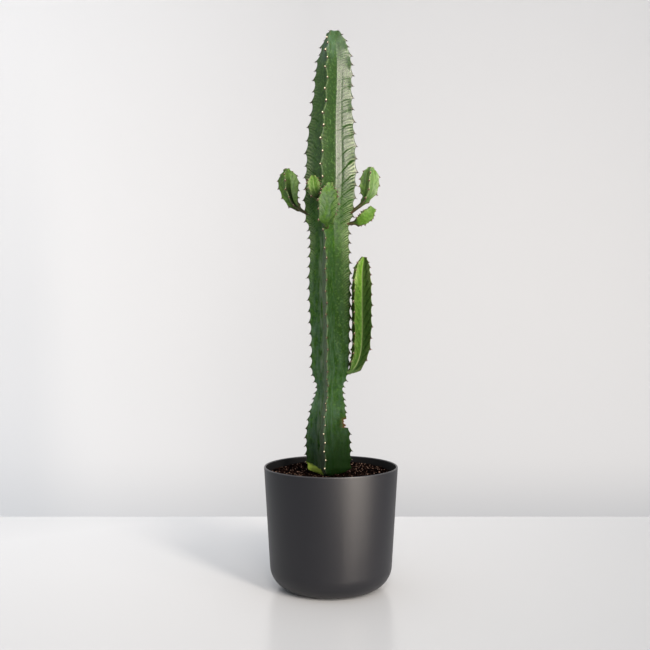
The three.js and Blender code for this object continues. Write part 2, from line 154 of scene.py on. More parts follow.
ARMS = {
    "arm_left": {
        "line": [
            (-27, 6, 499), (-35, 9.5, 504.5), (-45, 13, 511.5), (-52, 15, 520), (-56, 16, 532),
            (-58, 16, 547), (-60, 16, 563),
        ],
        "reach": [
            (0, 4), (20, 4.4), (28, 6), (34, 8.2), (47, 11.7), (60, 14.4), (68, 12.6), (74, 9),
            (78, 4.5),
        ],
        "core": [(0, 0.4), (30, 0.46)],
        "round": [(0, 1), (16, 0.8), (26, 0)],
        "turn": [(0, -15)],
        "spacing": [(0, 12.5), (60, 11), (70, 5)],
        "first_tooth": 28,
        "last_tooth": 75,
        "young": [(0, 0), (28, 0.6), (50, 1.1), (78, 1.2)],
        "film_and_sheen": [(30, 0), (45, 0.3)],
        "cork": [(0, 1.3), (20, 1), (30, 0.3), (38, 0)],
        "dark_front": [(20, 0.5), (32, 1), (48, 0.9), (60, 0.6), (72, 0.3)],
    },
    "shoot_front_left": {
        "line": [
            (-9, -23, 517), (-15, -27, 520), (-20.5, -28.5, 526), (-23, -29, 535),
            (-24, -29, 546.5),
        ],
        "reach": [(0, 3.6), (8, 4.4), (15, 8.4), (24, 11), (31, 10.2), (35, 8), (37, 5)],
        "core": [(0, 0.43)],
        "round": [(0, 1), (7, 0.9), (14, 0)],
        "turn": [(0, -40)],
        "spacing": [(0, 8.5), (24, 6.5), (31, 3.4)],
        "first_tooth": 16,
        "last_tooth": 35,
        "young": [(0, 0), (10, 0.2), (18, 0.6), (30, 1.1)],
        "bloom": [(0, 0), (14, 0.4), (24, 1.8)],
        "seam": [(0, 0), (20, 0.2), (30, 0.4)],
        "dark_front": [(0, 0.8), (14, 0.7), (24, 0.15)],
        "dark_right": [(0, 0.8), (12, 0.7), (20, 0.1)],
    },
    "arm_front": {
        "line": [
            (-6, -22, 482), (-6.2, -34, 486.5), (-5.2, -43, 495), (-4, -46, 507), (-3, -46, 521),
            (-2, -45, 535),
        ],
        "reach": [
            (0, 4.5), (12, 5.4), (20, 10.5), (32, 15.6), (44, 17), (55, 13.6), (61, 9), (65, 5),
        ],
        "core": [(0, 0.7)],
        "round": [(0, 1), (12, 0.9), (20, 0.15), (26, 0)],
        "turn": [(0, -45)],
        "spacing": [(0, 11), (44, 9), (56, 4)],
        "first_tooth": 24,
        "last_tooth": 63,
        "deep": [(0, 1.2)],
        "fine": [(0, 0.8)],
        "young": [(0, 0.3), (20, 0.75), (34, 0.45), (48, 0.5), (62, 1.2)],
        "film_and_sheen": [(16, 0), (30, 0.35)],
    },
    "arm_right_upper": {
        "line": [
            (24, -7, 500), (32, -10, 506.5), (41, -12.5, 513.5), (47, -14, 521.5), (50, -15, 532),
            (51.5, -15, 545), (52.3, -15, 560),
        ],
        "reach": [
            (0, 4), (24, 4.2), (32, 5.6), (37, 8.8), (44, 11.6), (56, 12.2), (64, 10.6), (69, 7.6),
            (72, 4.4),
        ],
        "core": [(0, 0.5), (30, 0.64)],
        "round": [(0, 1), (20, 0.9), (29, 0)],
        "turn": [(0, -3)],
        "spacing": [(0, 11.5), (73, 10.5)],
        "first_tooth": 33,
        "last_tooth": 70,
        "young": [(0, 0), (30, 0.4), (44, 1.1), (60, 1.4)],
        "shine": [(0, 0.3), (36, 0.8)],
        "film_and_sheen": [(30, 0), (45, 0.4)],
        "bloom": [(30, 0), (40, 0.9)],
        "seam": [(34, 0), (44, 0.4)],
        "cork": [(0, 1.3), (18, 1), (28, 0.3), (34, 0)],
    },
    "arm_right_lower": {
        "line": [
            (20, -6, 487.5), (29, -9, 488.5), (37, -11, 490.5), (44, -13, 494.5), (50, -14.5, 500),
            (54.5, -15.5, 506),
        ],
        "reach": [(0, 3.6), (11, 4.4), (19, 7.6), (28, 10.4), (36, 10), (41.5, 6.5)],
        "core": [(0, 0.6)],
        "round": [(0, 1), (9, 0.9), (17, 0)],
        "turn": [(0, -42)],
        "spacing": [(0, 9.5), (32, 7), (38, 3.4)],
        "first_tooth": 19,
        "last_tooth": 40,
        "young": [(0, 0), (14, 0.1), (20, 1.05)],
        "cork": [(0, 1.3), (10, 1), (17, 0.3), (21, 0)],
    },
    "arm_right_large": {
        "line": [
            (15, -2, 287), (22.5, -3, 288.5), (29, -4, 293), (35, -5, 303), (39.3, -5, 318),
            (41, -5, 342), (41, -5, 372), (41, -5, 402), (41.4, -5, 425), (44, -5, 441.5),
        ],
        "reach": [
            (0, 5), (10, 6), (20, 9.4), (34, 12.6), (55, 14.6), (85, 15.8), (120, 15.8),
            (142, 14.4), (156, 11.4), (164, 7.5), (168, 4.5),
        ],
        "core": [(0, 0.43), (30, 0.36)],
        "round": [(0, 1), (10, 0.7), (20, 0)],
        "turn": [(0, -38)],
        "spacing": [(0, 12), (60, 14.4), (140, 13.4), (156, 7), (165, 4)],
        "first_tooth": 26,
        "last_tooth": 165,
        "deep": [(0, 1.9)],
        "fine": [(0, 1.3)],
        "young": [(0, 0.2), (20, 0.3), (60, 0.38), (110, 0.62), (150, 1.5)],
        "bloom": [(0, 0.4), (10, 1.2), (45, 0.9), (70, 0.2), (120, 0.3), (142, 2)],
        "shine": [(0, 0.9), (40, 0.12)],
        "seam": [(0, 0.1), (30, 0.6), (60, 0.35), (120, 0.35), (150, 0.7), (168, 0.3)],
        "dark_right": [(0, 0), (20, 0.3), (50, 0.64), (168, 0.74)],
        "cork": [(0, 0.6), (8, 0.2), (14, 0)],
    },
}

# What a stem has where its own tables say nothing.
STEM_DEFAULTS = {
    "start": 0,
    "swing": [(0, 1)],
    "deep": [(0, 0.8)],
    "fine": [(0, 0.35)],
    "fall": [(0, 0.9)],
    "fold_start": [(0, 0.3)],
    "crease": [(0, 0)],
    "spike": [(0, 1)],
    "bead": [(0, 0.6)],
    "pale": [(0, 0.5)],
    "young": [(0, 0.3), (20, 0.6), (40, 1)],
    "shine": [(0, 0.35)],
    "cork": [(0, 1.2), (8, 0.7), (14, 0)],
    "film_and_sheen": [(0, 0)],
    "bloom": [(20, 0), (30, 0.4)],
    "lit_side_shade": [(0, 0)],
    "seam": [(0, 0)],
    "dark_front": [(0, 0)],
    "dark_right": [(0, 0)],
}

# The wings are counted from the front one, towards the right. Each one's teeth stand this share
# of a tooth above the front wing's, its crease is this deep and its leaf scars are this large.
TOOTH_OFFSETS = (0, 2 / 3, 0, 1 / 3)
WING_CREASES = (0, 1, 0.5, 0.1)
SCAR_SIZES = (1, 0.4, 0.7, 0.4)
FRONT_WING = 0
RIGHT_WING = 1
LEFT_WING = 3

# How deep each wing's folds are, how pale the wax and painted sheen on them are, and how worn and
# how far turned from the light its two flanks are, which sets their film, cork and painted light
# and shade, and how polished they are, the one towards the wing before it first. All of them are
# shares.
MAIN_WINGS = {
    "folds": (0.15, 1, 0.6, 0.7),
    "blooms_and_sheen": (0.12, 1, 0.4, 0.9),
    "weather": ((1, 0.15), (0, 0.5), (0.5, 0.5), (0.5, 0.45)),
    "polish": ((0.25, 0.35), (1, 0.5), (0.5, 0.5), (0.4, 0.5)),
}
# The arms' wings are all alike.
ARM_WINGS = {
    "folds": (0.7,) * 4,
    "blooms_and_sheen": (0.6,) * 4,
    "weather": ((1, 1),) * 4,
    "polish": ((0.8, 0.8),) * 4,
}

# An old scar on the right wing: how deep it is at each height.
SCAR = ((214.4, 0), (214.6, 5.5), (217, 7), (219, 3), (221, 6), (223, 3.5), (226, 5), (231, 0))

# Tables that the sweep reads as they are. What the skin's colours follow: tables of a stem, and
# marks that its section and its sweep leave on the mesh.
SWEEP_TABLES = ("round", "fall", "fold_start", "bloom", "dark_front", "dark_right")
SKIN_TABLES = ("young", "shine", "cork", "film_and_sheen", "lit_side_shade", "seam")
SKIN_MARKS = (
    "wing", "left_flank", "weathered", "polish", "furrow", "tooth_near", "pale_fold", "gloom",
    "wound",
)

# ------------------------------------------------------------------ settings


def length(name, description, default):
    """A size that the sidebar shows in the scene's units. Sizes are in metres."""
    return FloatProperty(
        name=name,
        description=description,
        default=default,
        min=0.0,
        precision=5,
        subtype="DISTANCE",
        unit="LENGTH",
    )


def colour(name, description, default):
    """A colour, from its sRGB hex value."""
    return FloatVectorProperty(
        name=name,
        description=description,
        default=linear(default),
        size=4,
        min=0.0,
        max=1.0,
        subtype="COLOR",
    )


def share(name, description, default):
    """A plain number."""
    return FloatProperty(name=name, description=description, default=default, precision=3)


def linear(hex_value):
    """A linear colour with full alpha, from an sRGB hex value such as 0x3f4043."""
    channels = [(hex_value >> shift & 255) / 255 for shift in (16, 8, 0)]
    curve = [c / 12.92 if c <= 0.04045 else ((c + 0.055) / 1.055) ** 2.4 for c in channels]
    return (*curve, 1.0)


class PotSettings(PropertyGroup):
    """Sizes and colour of the pot."""

    height: length("Height", "Height of the rim", POT_BOX[1].z)
    rim_radius: length("Rim radius", "Outer radius at the rim", 90 * MM)
    foot_radius: length(
        "Foot radius", "Radius where the straight wall would meet the floor", 80.3 * MM
    )
    foot_bend: length("Foot bend", "Radius of the rounded foot", 31.6 * MM)
    wall: length("Wall", "Thickness of the wall", 2.4 * MM)
    colour: colour("Colour", "Colour of the satin surface", 0x0D0D13)
    roughness: share("Roughness", "Roughness of the satin surface", 0.48)


class SoilSettings(PropertyGroup):
    """Sizes and colours of the potting mix."""

    level: length("Level", "Height of the mix round the stem", SOIL_BOX[1].z)
    fall: length("Fall", "How far the mix falls towards the wall", 1.5 * MM)
    lumps: length("Lumps", "Height of the lumps in the surface", 2.2 * MM)
    crumbs_per_square_metre: share("Crumbs", "Crumbs of bark and peat per square metre", 50000)
    grit_per_square_metre: share("Grit", "Pale grains per square metre", 20000)
    slope: length("Slope", "How far the mix rises towards the back", 5 * MM)
    seed: IntProperty(name="Seed", description="Seed of the scattered grains", default=7)
    colour: colour("Colour", "Colour of the damp peat", 0x0B0706)
    bark: colour("Bark", "Colour of the bark crumbs", 0x26150F)
    grit: colour("Grit", "Colour of the pale grains", 0xC4A392)


class StemSettings(PropertyGroup):
    """Sizes and colours of the main stem."""

    tooth_height: length("Tooth height", "How far the teeth stand out of the crests", 2.9 * MM)
    hook: length("Hook", "How far the teeth lean down", 1.3 * MM)
    crest_width: length("Crest width", "Thickness of a wing at its crest", 2.6 * MM)
    zigzag: length("Zigzag", "Swing of a crest to each side, from tooth to tooth", 1.6 * MM)
    row_spacing: length("Row spacing", "Distance between the mesh's rows", 0.8 * MM)
    spine_length: length("Spine length", "Length of the longest spines", 3.4 * MM)
    skin: colour("Skin", "Colour of the full-grown skin", 0x365A11)
    shade: colour("Shade", "Darker blue-green of the skin", 0x20401B)
    fresh: colour("Fresh", "Colour of the youngest skin", 0x3E6420)
    edge: colour("Edge", "Pale line along the crests", 0x7F8A5C)
    cork: colour("Cork", "Grey-green cork along the old crests", 0x5E6E58)
    # Painted light: on the flanks turned from the light this film also stands for a pale blue-grey
    # sheen.
    film_and_sheen: colour("Film", "Blue-grey film on the oldest skin", 0x566C5E)
    # Painted light: on the folds' ridges this pale wax also stands for their sheen.
    bloom: colour("Bloom", "Pale wax on the folds", 0x9CAC7E)
    # Painted shade: this darker green paints the shade in the depths of the folds.
    furrow: colour("Furrow", "Green in the depth of the folds", 0x1C3A0C)
    roughness: share("Roughness", "Roughness of the waxy skin", 0.37)


class ArmSettings(PropertyGroup):
    """Sizes and colours of the arms."""

    tooth_height: length("Tooth height", "How far the teeth stand out of the crests", 1.8 * MM)
    hook: length("Hook", "How far the teeth lean down", 0.5 * MM)
    crest_width: length("Crest width", "Thickness of a wing at its crest", 2.2 * MM)
    zigzag: length("Zigzag", "Swing of a crest to each side, from tooth to tooth", 0.6 * MM)
    row_spacing: length("Row spacing", "Distance between the mesh's rows", 0.6 * MM)
    spine_length: length("Spine length", "Length of the longest spines", 2.6 * MM)
    skin: colour("Skin", "Colour of the full-grown skin", 0x2E4C13)
    shade: colour("Shade", "Darker green of the skin", 0x213F12)
    fresh: colour("Fresh", "Colour of the youngest skin", 0x587F22)
    edge: colour("Edge", "Pale line along the crests", 0xA9B27A)
    cork: colour("Cork", "Brown cork on the necks", 0x35301D)
    # Painted light: on the folds' ridges this pale wax also stands for their sheen.
    bloom: colour("Bloom", "Pale wax on the folds", 0x9CAA74)
    # Painted light: on the flanks turned from the light this film also stands for a pale grey
    # sheen.
    film_and_sheen: colour("Film", "Grey film on the oldest skin", 0x46564A)
    # Painted shade: this darker green paints the shade in the depths of the folds.
    furrow: colour("Furrow", "Green in the depth of the folds", 0x1C3C0A)
    roughness: share("Roughness", "Roughness of the waxy skin", 0.38)


class StageSettings(PropertyGroup):
    """The table, the wall behind it, the lights and the camera."""

    floor: colour("Table", "Colour of the table's far left", 0xF3F4F6)
    floor_shade: colour("Table shade", "Colour of the table's near right", 0xA1A5AA)
    wall: colour("Wall", "Colour of the wall's left", 0xFBFCFE)
    wall_shade: colour("Wall shade", "Colour of the wall's right", 0xD9DADC)
    floor_depth: length("Table depth", "From the pot's middle to the table's far edge", 419 * MM)
    wall_distance: length("Wall distance", "From the pot's middle to the wall", 1600 * MM)
    front_power: share("Front power", "Power of the soft box above the camera, in watts", 5.5)
    key_power: share("Key power", "Power of the strip light on the right, in watts", 33.0)
    low_power: share("Low power", "Power of the low strip on the right, in watts", 21.0)
    top_power: share("Top power", "Power of the overhead light, in watts", 9.0)
    lamp_colour: colour("Lamp colour", "Colour of the lights", 0xFFF3E6)
    fill: share("Fill", "Strength of the room's own light", 0.58)
    fill_colour: colour("Fill colour", "Colour of the room's own light", 0xF6FAFF)
    camera_distance: length("Camera distance", "From the pot's middle to the camera", 1211 * MM)
    camera_side: length("Camera side", "How far left of the middle the camera stands", 8 * MM)
    camera_height: length("Camera height", "Height of the camera", 365.8 * MM)
    camera_tilt: FloatProperty(
        name="Camera tilt",
        description="How far the camera looks down",
        default=0.011,
        subtype="ANGLE",
    )
    focal_length: share("Focal length", "Focal length in millimetres, on a 36 mm sensor", 49.85)


# ------------------------------------------------------------------ nodes and objects


def socket(sockets, key):
    """The socket of that name or number among those that the node's data type uses."""
    used = [one for one in sockets if one.enabled]
    return used[key] if isinstance(key, int) else next(one for one in used if one.name == key)


def node(tree, kind, inputs=None, **settings):
    """Adds a node. An input is a value, a socket to link, or a node that gives its first output."""
    made = tree.nodes.new(kind)
    for name, value in settings.items():
        setattr(made, name, value)
    for key, value in (inputs or {}).items():
        target = socket(made.inputs, key)
        if isinstance(value, bpy.types.Node):
            value = socket(value.outputs, 0)
        if isinstance(value, bpy.types.NodeSocket):
            tree.links.new(value, target)
        else:
            target.default_value = value
    return made


def new_tree(name, inputs):
    """A Geometry Nodes tree with named inputs, and the node that gives them."""
    tree = bpy.data.node_groups.new(name, "GeometryNodeTree")
    tree.interface.new_socket("Geometry", in_out="INPUT", socket_type="NodeSocketGeometry")
    tree.interface.new_socket("Geometry", in_out="OUTPUT", socket_type="NodeSocketGeometry")
    for label, kind in inputs.items():
        tree.interface.new_socket(label, in_out="INPUT", socket_type=kind)
    return tree, tree.nodes.new("NodeGroupInput")


def put(name, mesh):
    """A mesh as an object at the origin."""
    thing = bpy.data.objects.new(name, mesh)
    bpy.context.scene.collection.objects.link(thing)
    return thing


def points_object(name, places, edges=(), **attributes):
    """Points, with edges if any, that carry a number or a vector each under every given name."""
    mesh = bpy.data.meshes.new(name)
    mesh.from_pydata([tuple(place) for place in places], edges, [])
    for label, values in attributes.items():
        values = np.asarray(values, np.float32)
        kind, field = ("FLOAT", "value") if values.ndim == 1 else ("FLOAT_VECTOR", "vector")
        mesh.attributes.new(label, kind, "POINT").data.foreach_set(field, values.ravel())
    return put(name, mesh)


def grow(name, source, tree, values):
    """Runs a tree on an object and keeps what it makes as a plain mesh object of that name."""
    modifier = source.modifiers.new(tree.name, "NODES")
    modifier.node_group = tree
    for item in tree.interface.items_tree:
        if item.in_out == "INPUT" and item.name in values:
            modifier[item.identifier] = values[item.name]
    graph = bpy.context.evaluated_depsgraph_get()
    mesh = bpy.data.meshes.new_from_object(
        source.evaluated_get(graph), preserve_all_data_layers=True, depsgraph=graph
    )
    bpy.data.objects.remove(source)
    mesh.name = name
    return put(name, mesh)


def finish_piece(piece, slot, *nodes):
    """Hands a finished piece to the frame."""
    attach(piece, BODY)
    if nodes:
        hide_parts(*nodes)
    return piece


# ------------------------------------------------------------------ materials


def new_material(name, **surface):
    """A material with one Principled surface, and its tree and surface node."""
    material = bpy.data.materials.new(name)
    material.use_nodes = True
    tree = material.node_tree
    tree.nodes.clear()
    shader = node(tree, "ShaderNodeBsdfPrincipled", surface)
    node(tree, "ShaderNodeOutputMaterial", {"Surface": shader})
    return material, tree, shader


def link(tree, source, target, key):
    """Links a node's first output to a socket of another node."""
    tree.links.new(socket(source.outputs, 0), socket(target.inputs, key))


def satin_polypropylene(name, tint, roughness, gloss):
    """Injection-moulded polypropylene with a fine spark-eroded texture: a soft, even satin."""
    material, tree, shader = new_material(
        name, **{"Roughness": roughness, "IOR": 1.49, "Specular IOR Level": gloss}
    )
    place = node(tree, "ShaderNodeTexCoord").outputs["Object"]
    cloud = node(
        tree, "ShaderNodeTexNoise", {"Vector": place, "Scale": 1 / (40 * MM), "Detail": 3.0}
    )
    tone = node(
        tree,
        "ShaderNodeMix",
        {"Factor": cloud, "A": tint, "B": tuple(1.15 * channel for channel in tint[:3]) + (1,)},
        data_type="RGBA",
    )
    link(tree, tone, shader, "Base Color")
    # The real texture is about 0.1 mm, too fine for the picture, so it is drawn at 0.6 mm.
    grain = node(
        tree, "ShaderNodeTexNoise", {"Vector": place, "Scale": 1 / (0.6 * MM), "Detail": 2.0}
    )
    bump = node(tree, "ShaderNodeBump", {"Height": grain, "Distance": 0.04 * MM, "Strength": 0.5})
    link(tree, bump, shader, "Normal")
    return material


def damp_peat(settings):
    """Damp peat and composted bark: dark, rough and without gloss."""
    material, tree, shader = new_material(
        "damp peat", **{"Roughness": 0.95, "Specular IOR Level": 0.0}
    )
    place = node(tree, "ShaderNodeTexCoord").outputs["Object"]
    crumbs = node(
        tree, "ShaderNodeTexNoise", {"Vector": place, "Scale": 1 / (3 * MM), "Detail": 6.0}
    )
    spread = node(tree, "ShaderNodeMapRange", {"Value": crumbs, "From Min": 0.35, "From Max": 0.7})
    tone = node(
        tree,
        "ShaderNodeMix",
        {"Factor": spread, "A": linear(0x050303), "B": settings.colour},
        data_type="RGBA",
    )
    link(tree, tone, shader, "Base Color")
    fine = node(
        tree, "ShaderNodeTexNoise", {"Vector": place, "Scale": 1 / (0.8 * MM), "Detail": 4.0}
    )
    bump = node(tree, "ShaderNodeBump", {"Height": fine, "Distance": 0.6 * MM, "Strength": 0.9})
    link(tree, bump, shader, "Normal")
    return material


def mineral_crumb(name, colour_value, dark_value, roughness):
    """A dry crumb of bark or a grain of pumice: matt, and each grain has its own tone."""
    material, tree, shader = new_material(
        name, **{"Roughness": roughness, "Specular IOR Level": 0.05}
    )
    place = node(tree, "ShaderNodeTexCoord").outputs["Object"]
    grains = node(tree, "ShaderNodeTexWhiteNoise", {"Vector": place}, noise_dimensions="3D")
    own = node(
        tree, "ShaderNodeTexNoise", {"Vector": place, "Scale": 1 / (2.2 * MM), "Detail": 1.0}
    )
    tone = node(
        tree, "ShaderNodeMix", {"Factor": own, "A": dark_value, "B": colour_value}, data_type="RGBA"
    )
    fleck = node(tree, "ShaderNodeMix", {"Factor": grains, "A": 0.0, "B": 0.1}, data_type="FLOAT")
    mixed = node(
        tree, "ShaderNodeMix", {"Factor": fleck, "A": tone, "B": colour_value}, data_type="RGBA"
    )
    link(tree, mixed, shader, "Base Color")
    return material


def waxy_skin(name, settings):
    """Living cuticle under a coat of plant wax: deep green, with a broad satin sheen."""
    material, tree, shader = new_material(
        name,
        **{"IOR": 1.45, "Subsurface Weight": 0.05, "Subsurface Scale": 2 * MM, "Coat IOR": 1.6},
    )
    place = node(tree, "ShaderNodeTexCoord").outputs["Object"]
    height = node(tree, "ShaderNodeSeparateXYZ", {0: place}).outputs["Z"]
    seen = {
        label: node(tree, "ShaderNodeAttribute", attribute_name=label).outputs["Fac"]
        for label in SKIN_TABLES + SKIN_MARKS
    }
    squeezed = node(tree, VECTOR_MATH, {0: place, 1: (1.0, 1.0, 0.25)}, operation="MULTIPLY")
    noise = {
        label: node(
            tree,
            "ShaderNodeTexNoise",
            {"Vector": where, "Scale": 1 / size, "Detail": detail, "Roughness": 0.6},
        )
        for label, (where, size, detail) in {
            "mottle": (place, 7 * MM, 4.0),
            "speckle": (place, 3 * MM, 3.0),
            "streak": (squeezed, 5 * MM, 4.0),
            "flake": (place, 2 * MM, 5.0),
            "rust": (place, 4 * MM, 3.0),
        }.items()
    }
    inward = node(tree, MATH, {0: 1.0, 1: seen["wing"]}, operation="SUBTRACT")
    sloping = node(tree, MATH, {0: inward, 1: 9 * MM, 2: height}, operation="MULTIPLY_ADD")
    wavering = node(
        tree, MATH, {0: noise["mottle"], 1: 8 * MM, 2: sloping}, operation="MULTIPLY_ADD"
    )
    spread = {
        label: node(
            tree, "ShaderNodeMapRange", {"Value": value, "From Min": least, "From Max": most}
        )
        for label, (value, least, most) in {
            "mottle": (noise["mottle"], 0.42, 0.58),
            "speckle": (noise["speckle"], 0.45, 0.62),
            "fleck": (noise["speckle"], 0.46, 0.32),
            "streak": (noise["streak"], 0.35, 0.7),
            "rubbed": (noise["flake"], 0.46, 0.6),
            "corky": (seen["weathered"], 0.62, 0.9),
            "lit": (seen["weathered"], 0.6, 0.15),
            "valley": (seen["wing"], -0.02, 0.05),
            "rust": (noise["rust"], 0.54, 0.66),
            "line": (seen["wing"], 0.972, 0.996),
            "seam": (seen["wing"], 0.1, 0.02),
            "inner": (seen["wing"], 0.34, 0.16),
            "tooth": (seen["tooth_near"], 0.74, 0.94),
            "crest": (seen["wing"], 0.85, 0.97),
            "foot": (height, 240 * MM, 172 * MM),
            "underside": (wavering, 173 * MM, 170 * MM),
        }.items()
    }
    ragged = node(tree, MATH, {0: noise["flake"], 1: 0.3, 2: inward}, operation="MULTIPLY_ADD")
    cork_here = node(tree, MATH, {0: seen["cork"], 1: spread["corky"]}, operation="MULTIPLY")
    corky = node(tree, MATH, {0: cork_here, 1: ragged}, operation="SUBTRACT")
    cork = node(tree, "ShaderNodeMapRange", {"Value": corky, "From Min": -0.2, "From Max": -0.02})

    green = node(
        tree,
        "ShaderNodeMix",
        {"Factor": spread["mottle"], "A": settings.shade, "B": settings.skin},
        data_type="RGBA",
    )
    # Each layer is what its factors leave of a colour, from the skin's own tones out to its marks,
    # and to the light and shade painted on it.
    layers = (
        ((seen["young"], 0.65), settings.fresh),
        # Painted shade: the flanks that face the light are darkened, as far as the stem's table
        # says.
        ((spread["lit"], seen["lit_side_shade"]), linear(0x162E06)),
        ((spread["speckle"], 0.35), linear(0x132A12)),
        ((spread["fleck"], seen["young"], 0.45), linear(0x5F8048)),
        # Old skin is dulled by a blue-grey film, which lies in streaks along the stem. It lies
        # thickest on the flanks turned from the light, and its paler tone there is also a painted
        # sheen on their shade.
        ((seen["film_and_sheen"], spread["streak"], seen["weathered"], 1.5), settings.film_and_sheen),
        ((seen["film_and_sheen"], seen["film_and_sheen"], spread["streak"], 0.4), settings.film_and_sheen),
        # Wax is pale on the folds near a crest, and doesn't lie in the furrows between them. Its
        # paleness on the folds' ridges is also a painted sheen, and the furrows are painted dark,
        # as shade.
        ((seen["pale_fold"], 0.9), settings.bloom),
        ((seen["furrow"], 0.85), settings.furrow),
        # Cork creeps in from the crest with a broken edge, and rusts in spots.
        ((cork, 0.8), settings.cork),
        (
            (spread["inner"], seen["left_flank"], seen["cork"], spread["streak"], 0.95),
            settings.cork,
        ),
        ((cork, spread["rust"], 0.6), linear(0x5A3A2C)),
        ((cork, spread["line"], 0.6), linear(0x33281E)),
        # A thin pale line runs along the crest, broken where it is rubbed.
        ((spread["line"], spread["rubbed"], seen["young"], 0.4), settings.edge),
        ((spread["seam"], seen["seam"]), settings.bloom),
        # Round each tooth the skin is stained brown by the spines' shield.
        ((spread["tooth"], spread["crest"], 0.75), linear(0x33261A)),
        # Painted shade: flanks that the light never reaches are painted dark, and so is the foot
        # near the mix, darkest on the flanks that face the light.
        ((seen["gloom"],), linear(0x101F0A)),
        ((spread["foot"], 0.55), linear(0x131D12)),
        ((spread["foot"], spread["lit"], 0.85), linear(0x081A03)),
        # The left wing's front flank is a paler green at its very foot, painted brighter still
        # there as light where it faces down into shade, and the old scar is brown.
        ((spread["underside"], seen["left_flank"], 0.85), linear(0x8EA446)),
        ((seen["wound"],), linear(0x5E3527)),
    )
    tone = green
    for factors, tint in layers:
        amount = factors[0]
        for factor in factors[1:]:
            amount = node(tree, MATH, {0: amount, 1: factor}, operation="MULTIPLY")
        tone = node(
            tree, "ShaderNodeMix", {"Factor": amount, "A": tone, "B": tint}, data_type="RGBA"
        )
    link(tree, tone, shader, "Base Color")

    dry = node(tree, MATH, {0: 1.0, 1: seen["furrow"]}, operation="SUBTRACT")
    waxed = node(tree, MATH, {0: seen["shine"], 1: dry}, operation="MULTIPLY")
    polished = node(tree, MATH, {0: waxed, 1: seen["polish"]}, operation="MULTIPLY")
    wax = node(tree, MATH, {0: polished, 1: spread["valley"]}, operation="MULTIPLY")
    gloss = {
        "Roughness": (0.55, settings.roughness),
        "Coat Roughness": (0.55, settings.roughness),
        "Specular IOR Level": (0.02, 0.7),
        "Coat Weight": (0.0, 0.45),
    }
    for key, (least, most) in gloss.items():
        amount = node(tree, "ShaderNodeMapRange", {"Value": wax, "To Min": least, "To Max": most})
        link(tree, amount, shader, key)

    pores = node(
        tree, "ShaderNodeTexNoise", {"Vector": place, "Scale": 1 / (1.6 * MM), "Detail": 4.0}
    )
    dents = node(
        tree, "ShaderNodeTexNoise", {"Vector": place, "Scale": 1 / (6 * MM), "Detail": 2.0}
    )
    relief = node(tree, MATH, {0: dents, 1: 4.0, 2: pores}, operation="MULTIPLY_ADD")
    bump = node(tree, "ShaderNodeBump", {"Height": relief, "Distance": 0.2 * MM, "Strength": 0.7})
    link(tree, bump, shader, "Normal")
    return material


def plain_growth(name, light, dark, roughness, grain):
    """Horn, cork or scar tissue: a dry, dense growth with a fine grain along it."""
    material, tree, shader = new_material(name, **{"Roughness": roughness})
    place = node(tree, "ShaderNodeTexCoord").outputs["Object"]
    noise = node(tree, "ShaderNodeTexNoise", {"Vector": place, "Scale": 1 / grain, "Detail": 3.0})
    tone = node(
        tree,
        "ShaderNodeMix",
        {"Factor": noise, "A": linear(dark), "B": linear(light)},
        data_type="RGBA",
    )
    link(tree, tone, shader, "Base Color")
    return material


# ------------------------------------------------------------------ pot


def lathe(name, outline, steps):
    """A closed turned mesh about the vertical, from a half section that starts and ends on it."""
    angles = np.linspace(0, 2 * math.pi, steps, endpoint=False)
    ring = [(r * math.cos(a), r * math.sin(a), z) for r, z in outline[1:-1] for a in angles]
    places = [(0, 0, outline[0][1]), *ring, (0, 0, outline[-1][1])]
    faces = []
    for step in range(steps):
        after = (step + 1) % steps
        faces.append((0, 1 + after, 1 + step))
        for row in range(len(outline) - 3):
            low, high = 1 + row * steps, 1 + (row + 1) * steps
            faces.append((low + step, low + after, high + after, high + step))
        top = 1 + (len(outline) - 3) * steps
        faces.append((top + step, top + after, len(places) - 1))
    mesh = bpy.data.meshes.new(name)
    mesh.from_pydata(places, [], faces)
    mesh.shade_smooth()
    return put(name, mesh)


BEND_STEPS = 20  # points along the pot's rounded foot
LIP_STEPS = 7  # points along its rounded lip
POT_SIDES = 192
SOIL_SIDES = 260
SOIL_RINGS = 90  # rings of the mix's surface, from the wall to the middle
SOIL_CLEARANCE = 0.3 * MM  # between the mix and the wall


def pot_line(pot, inset, top):
    """The line `inset` inside the pot's outer face, from the axis out and up to `top`."""
    lean = math.atan((pot.rim_radius - pot.foot_radius) / pot.height)
    bend_x = pot.foot_radius + pot.foot_bend * (math.tan(lean) - 1 / math.cos(lean))
    bend = pot.foot_bend - inset
    turns = np.linspace(-math.pi / 2, -lean, BEND_STEPS)
    line = [(0.0, inset)]
    line += [(bend_x + bend * math.cos(a), pot.foot_bend + bend * math.sin(a)) for a in turns]
    line.append((pot.foot_radius + top * math.tan(lean) - inset / math.cos(lean), top))
    return line


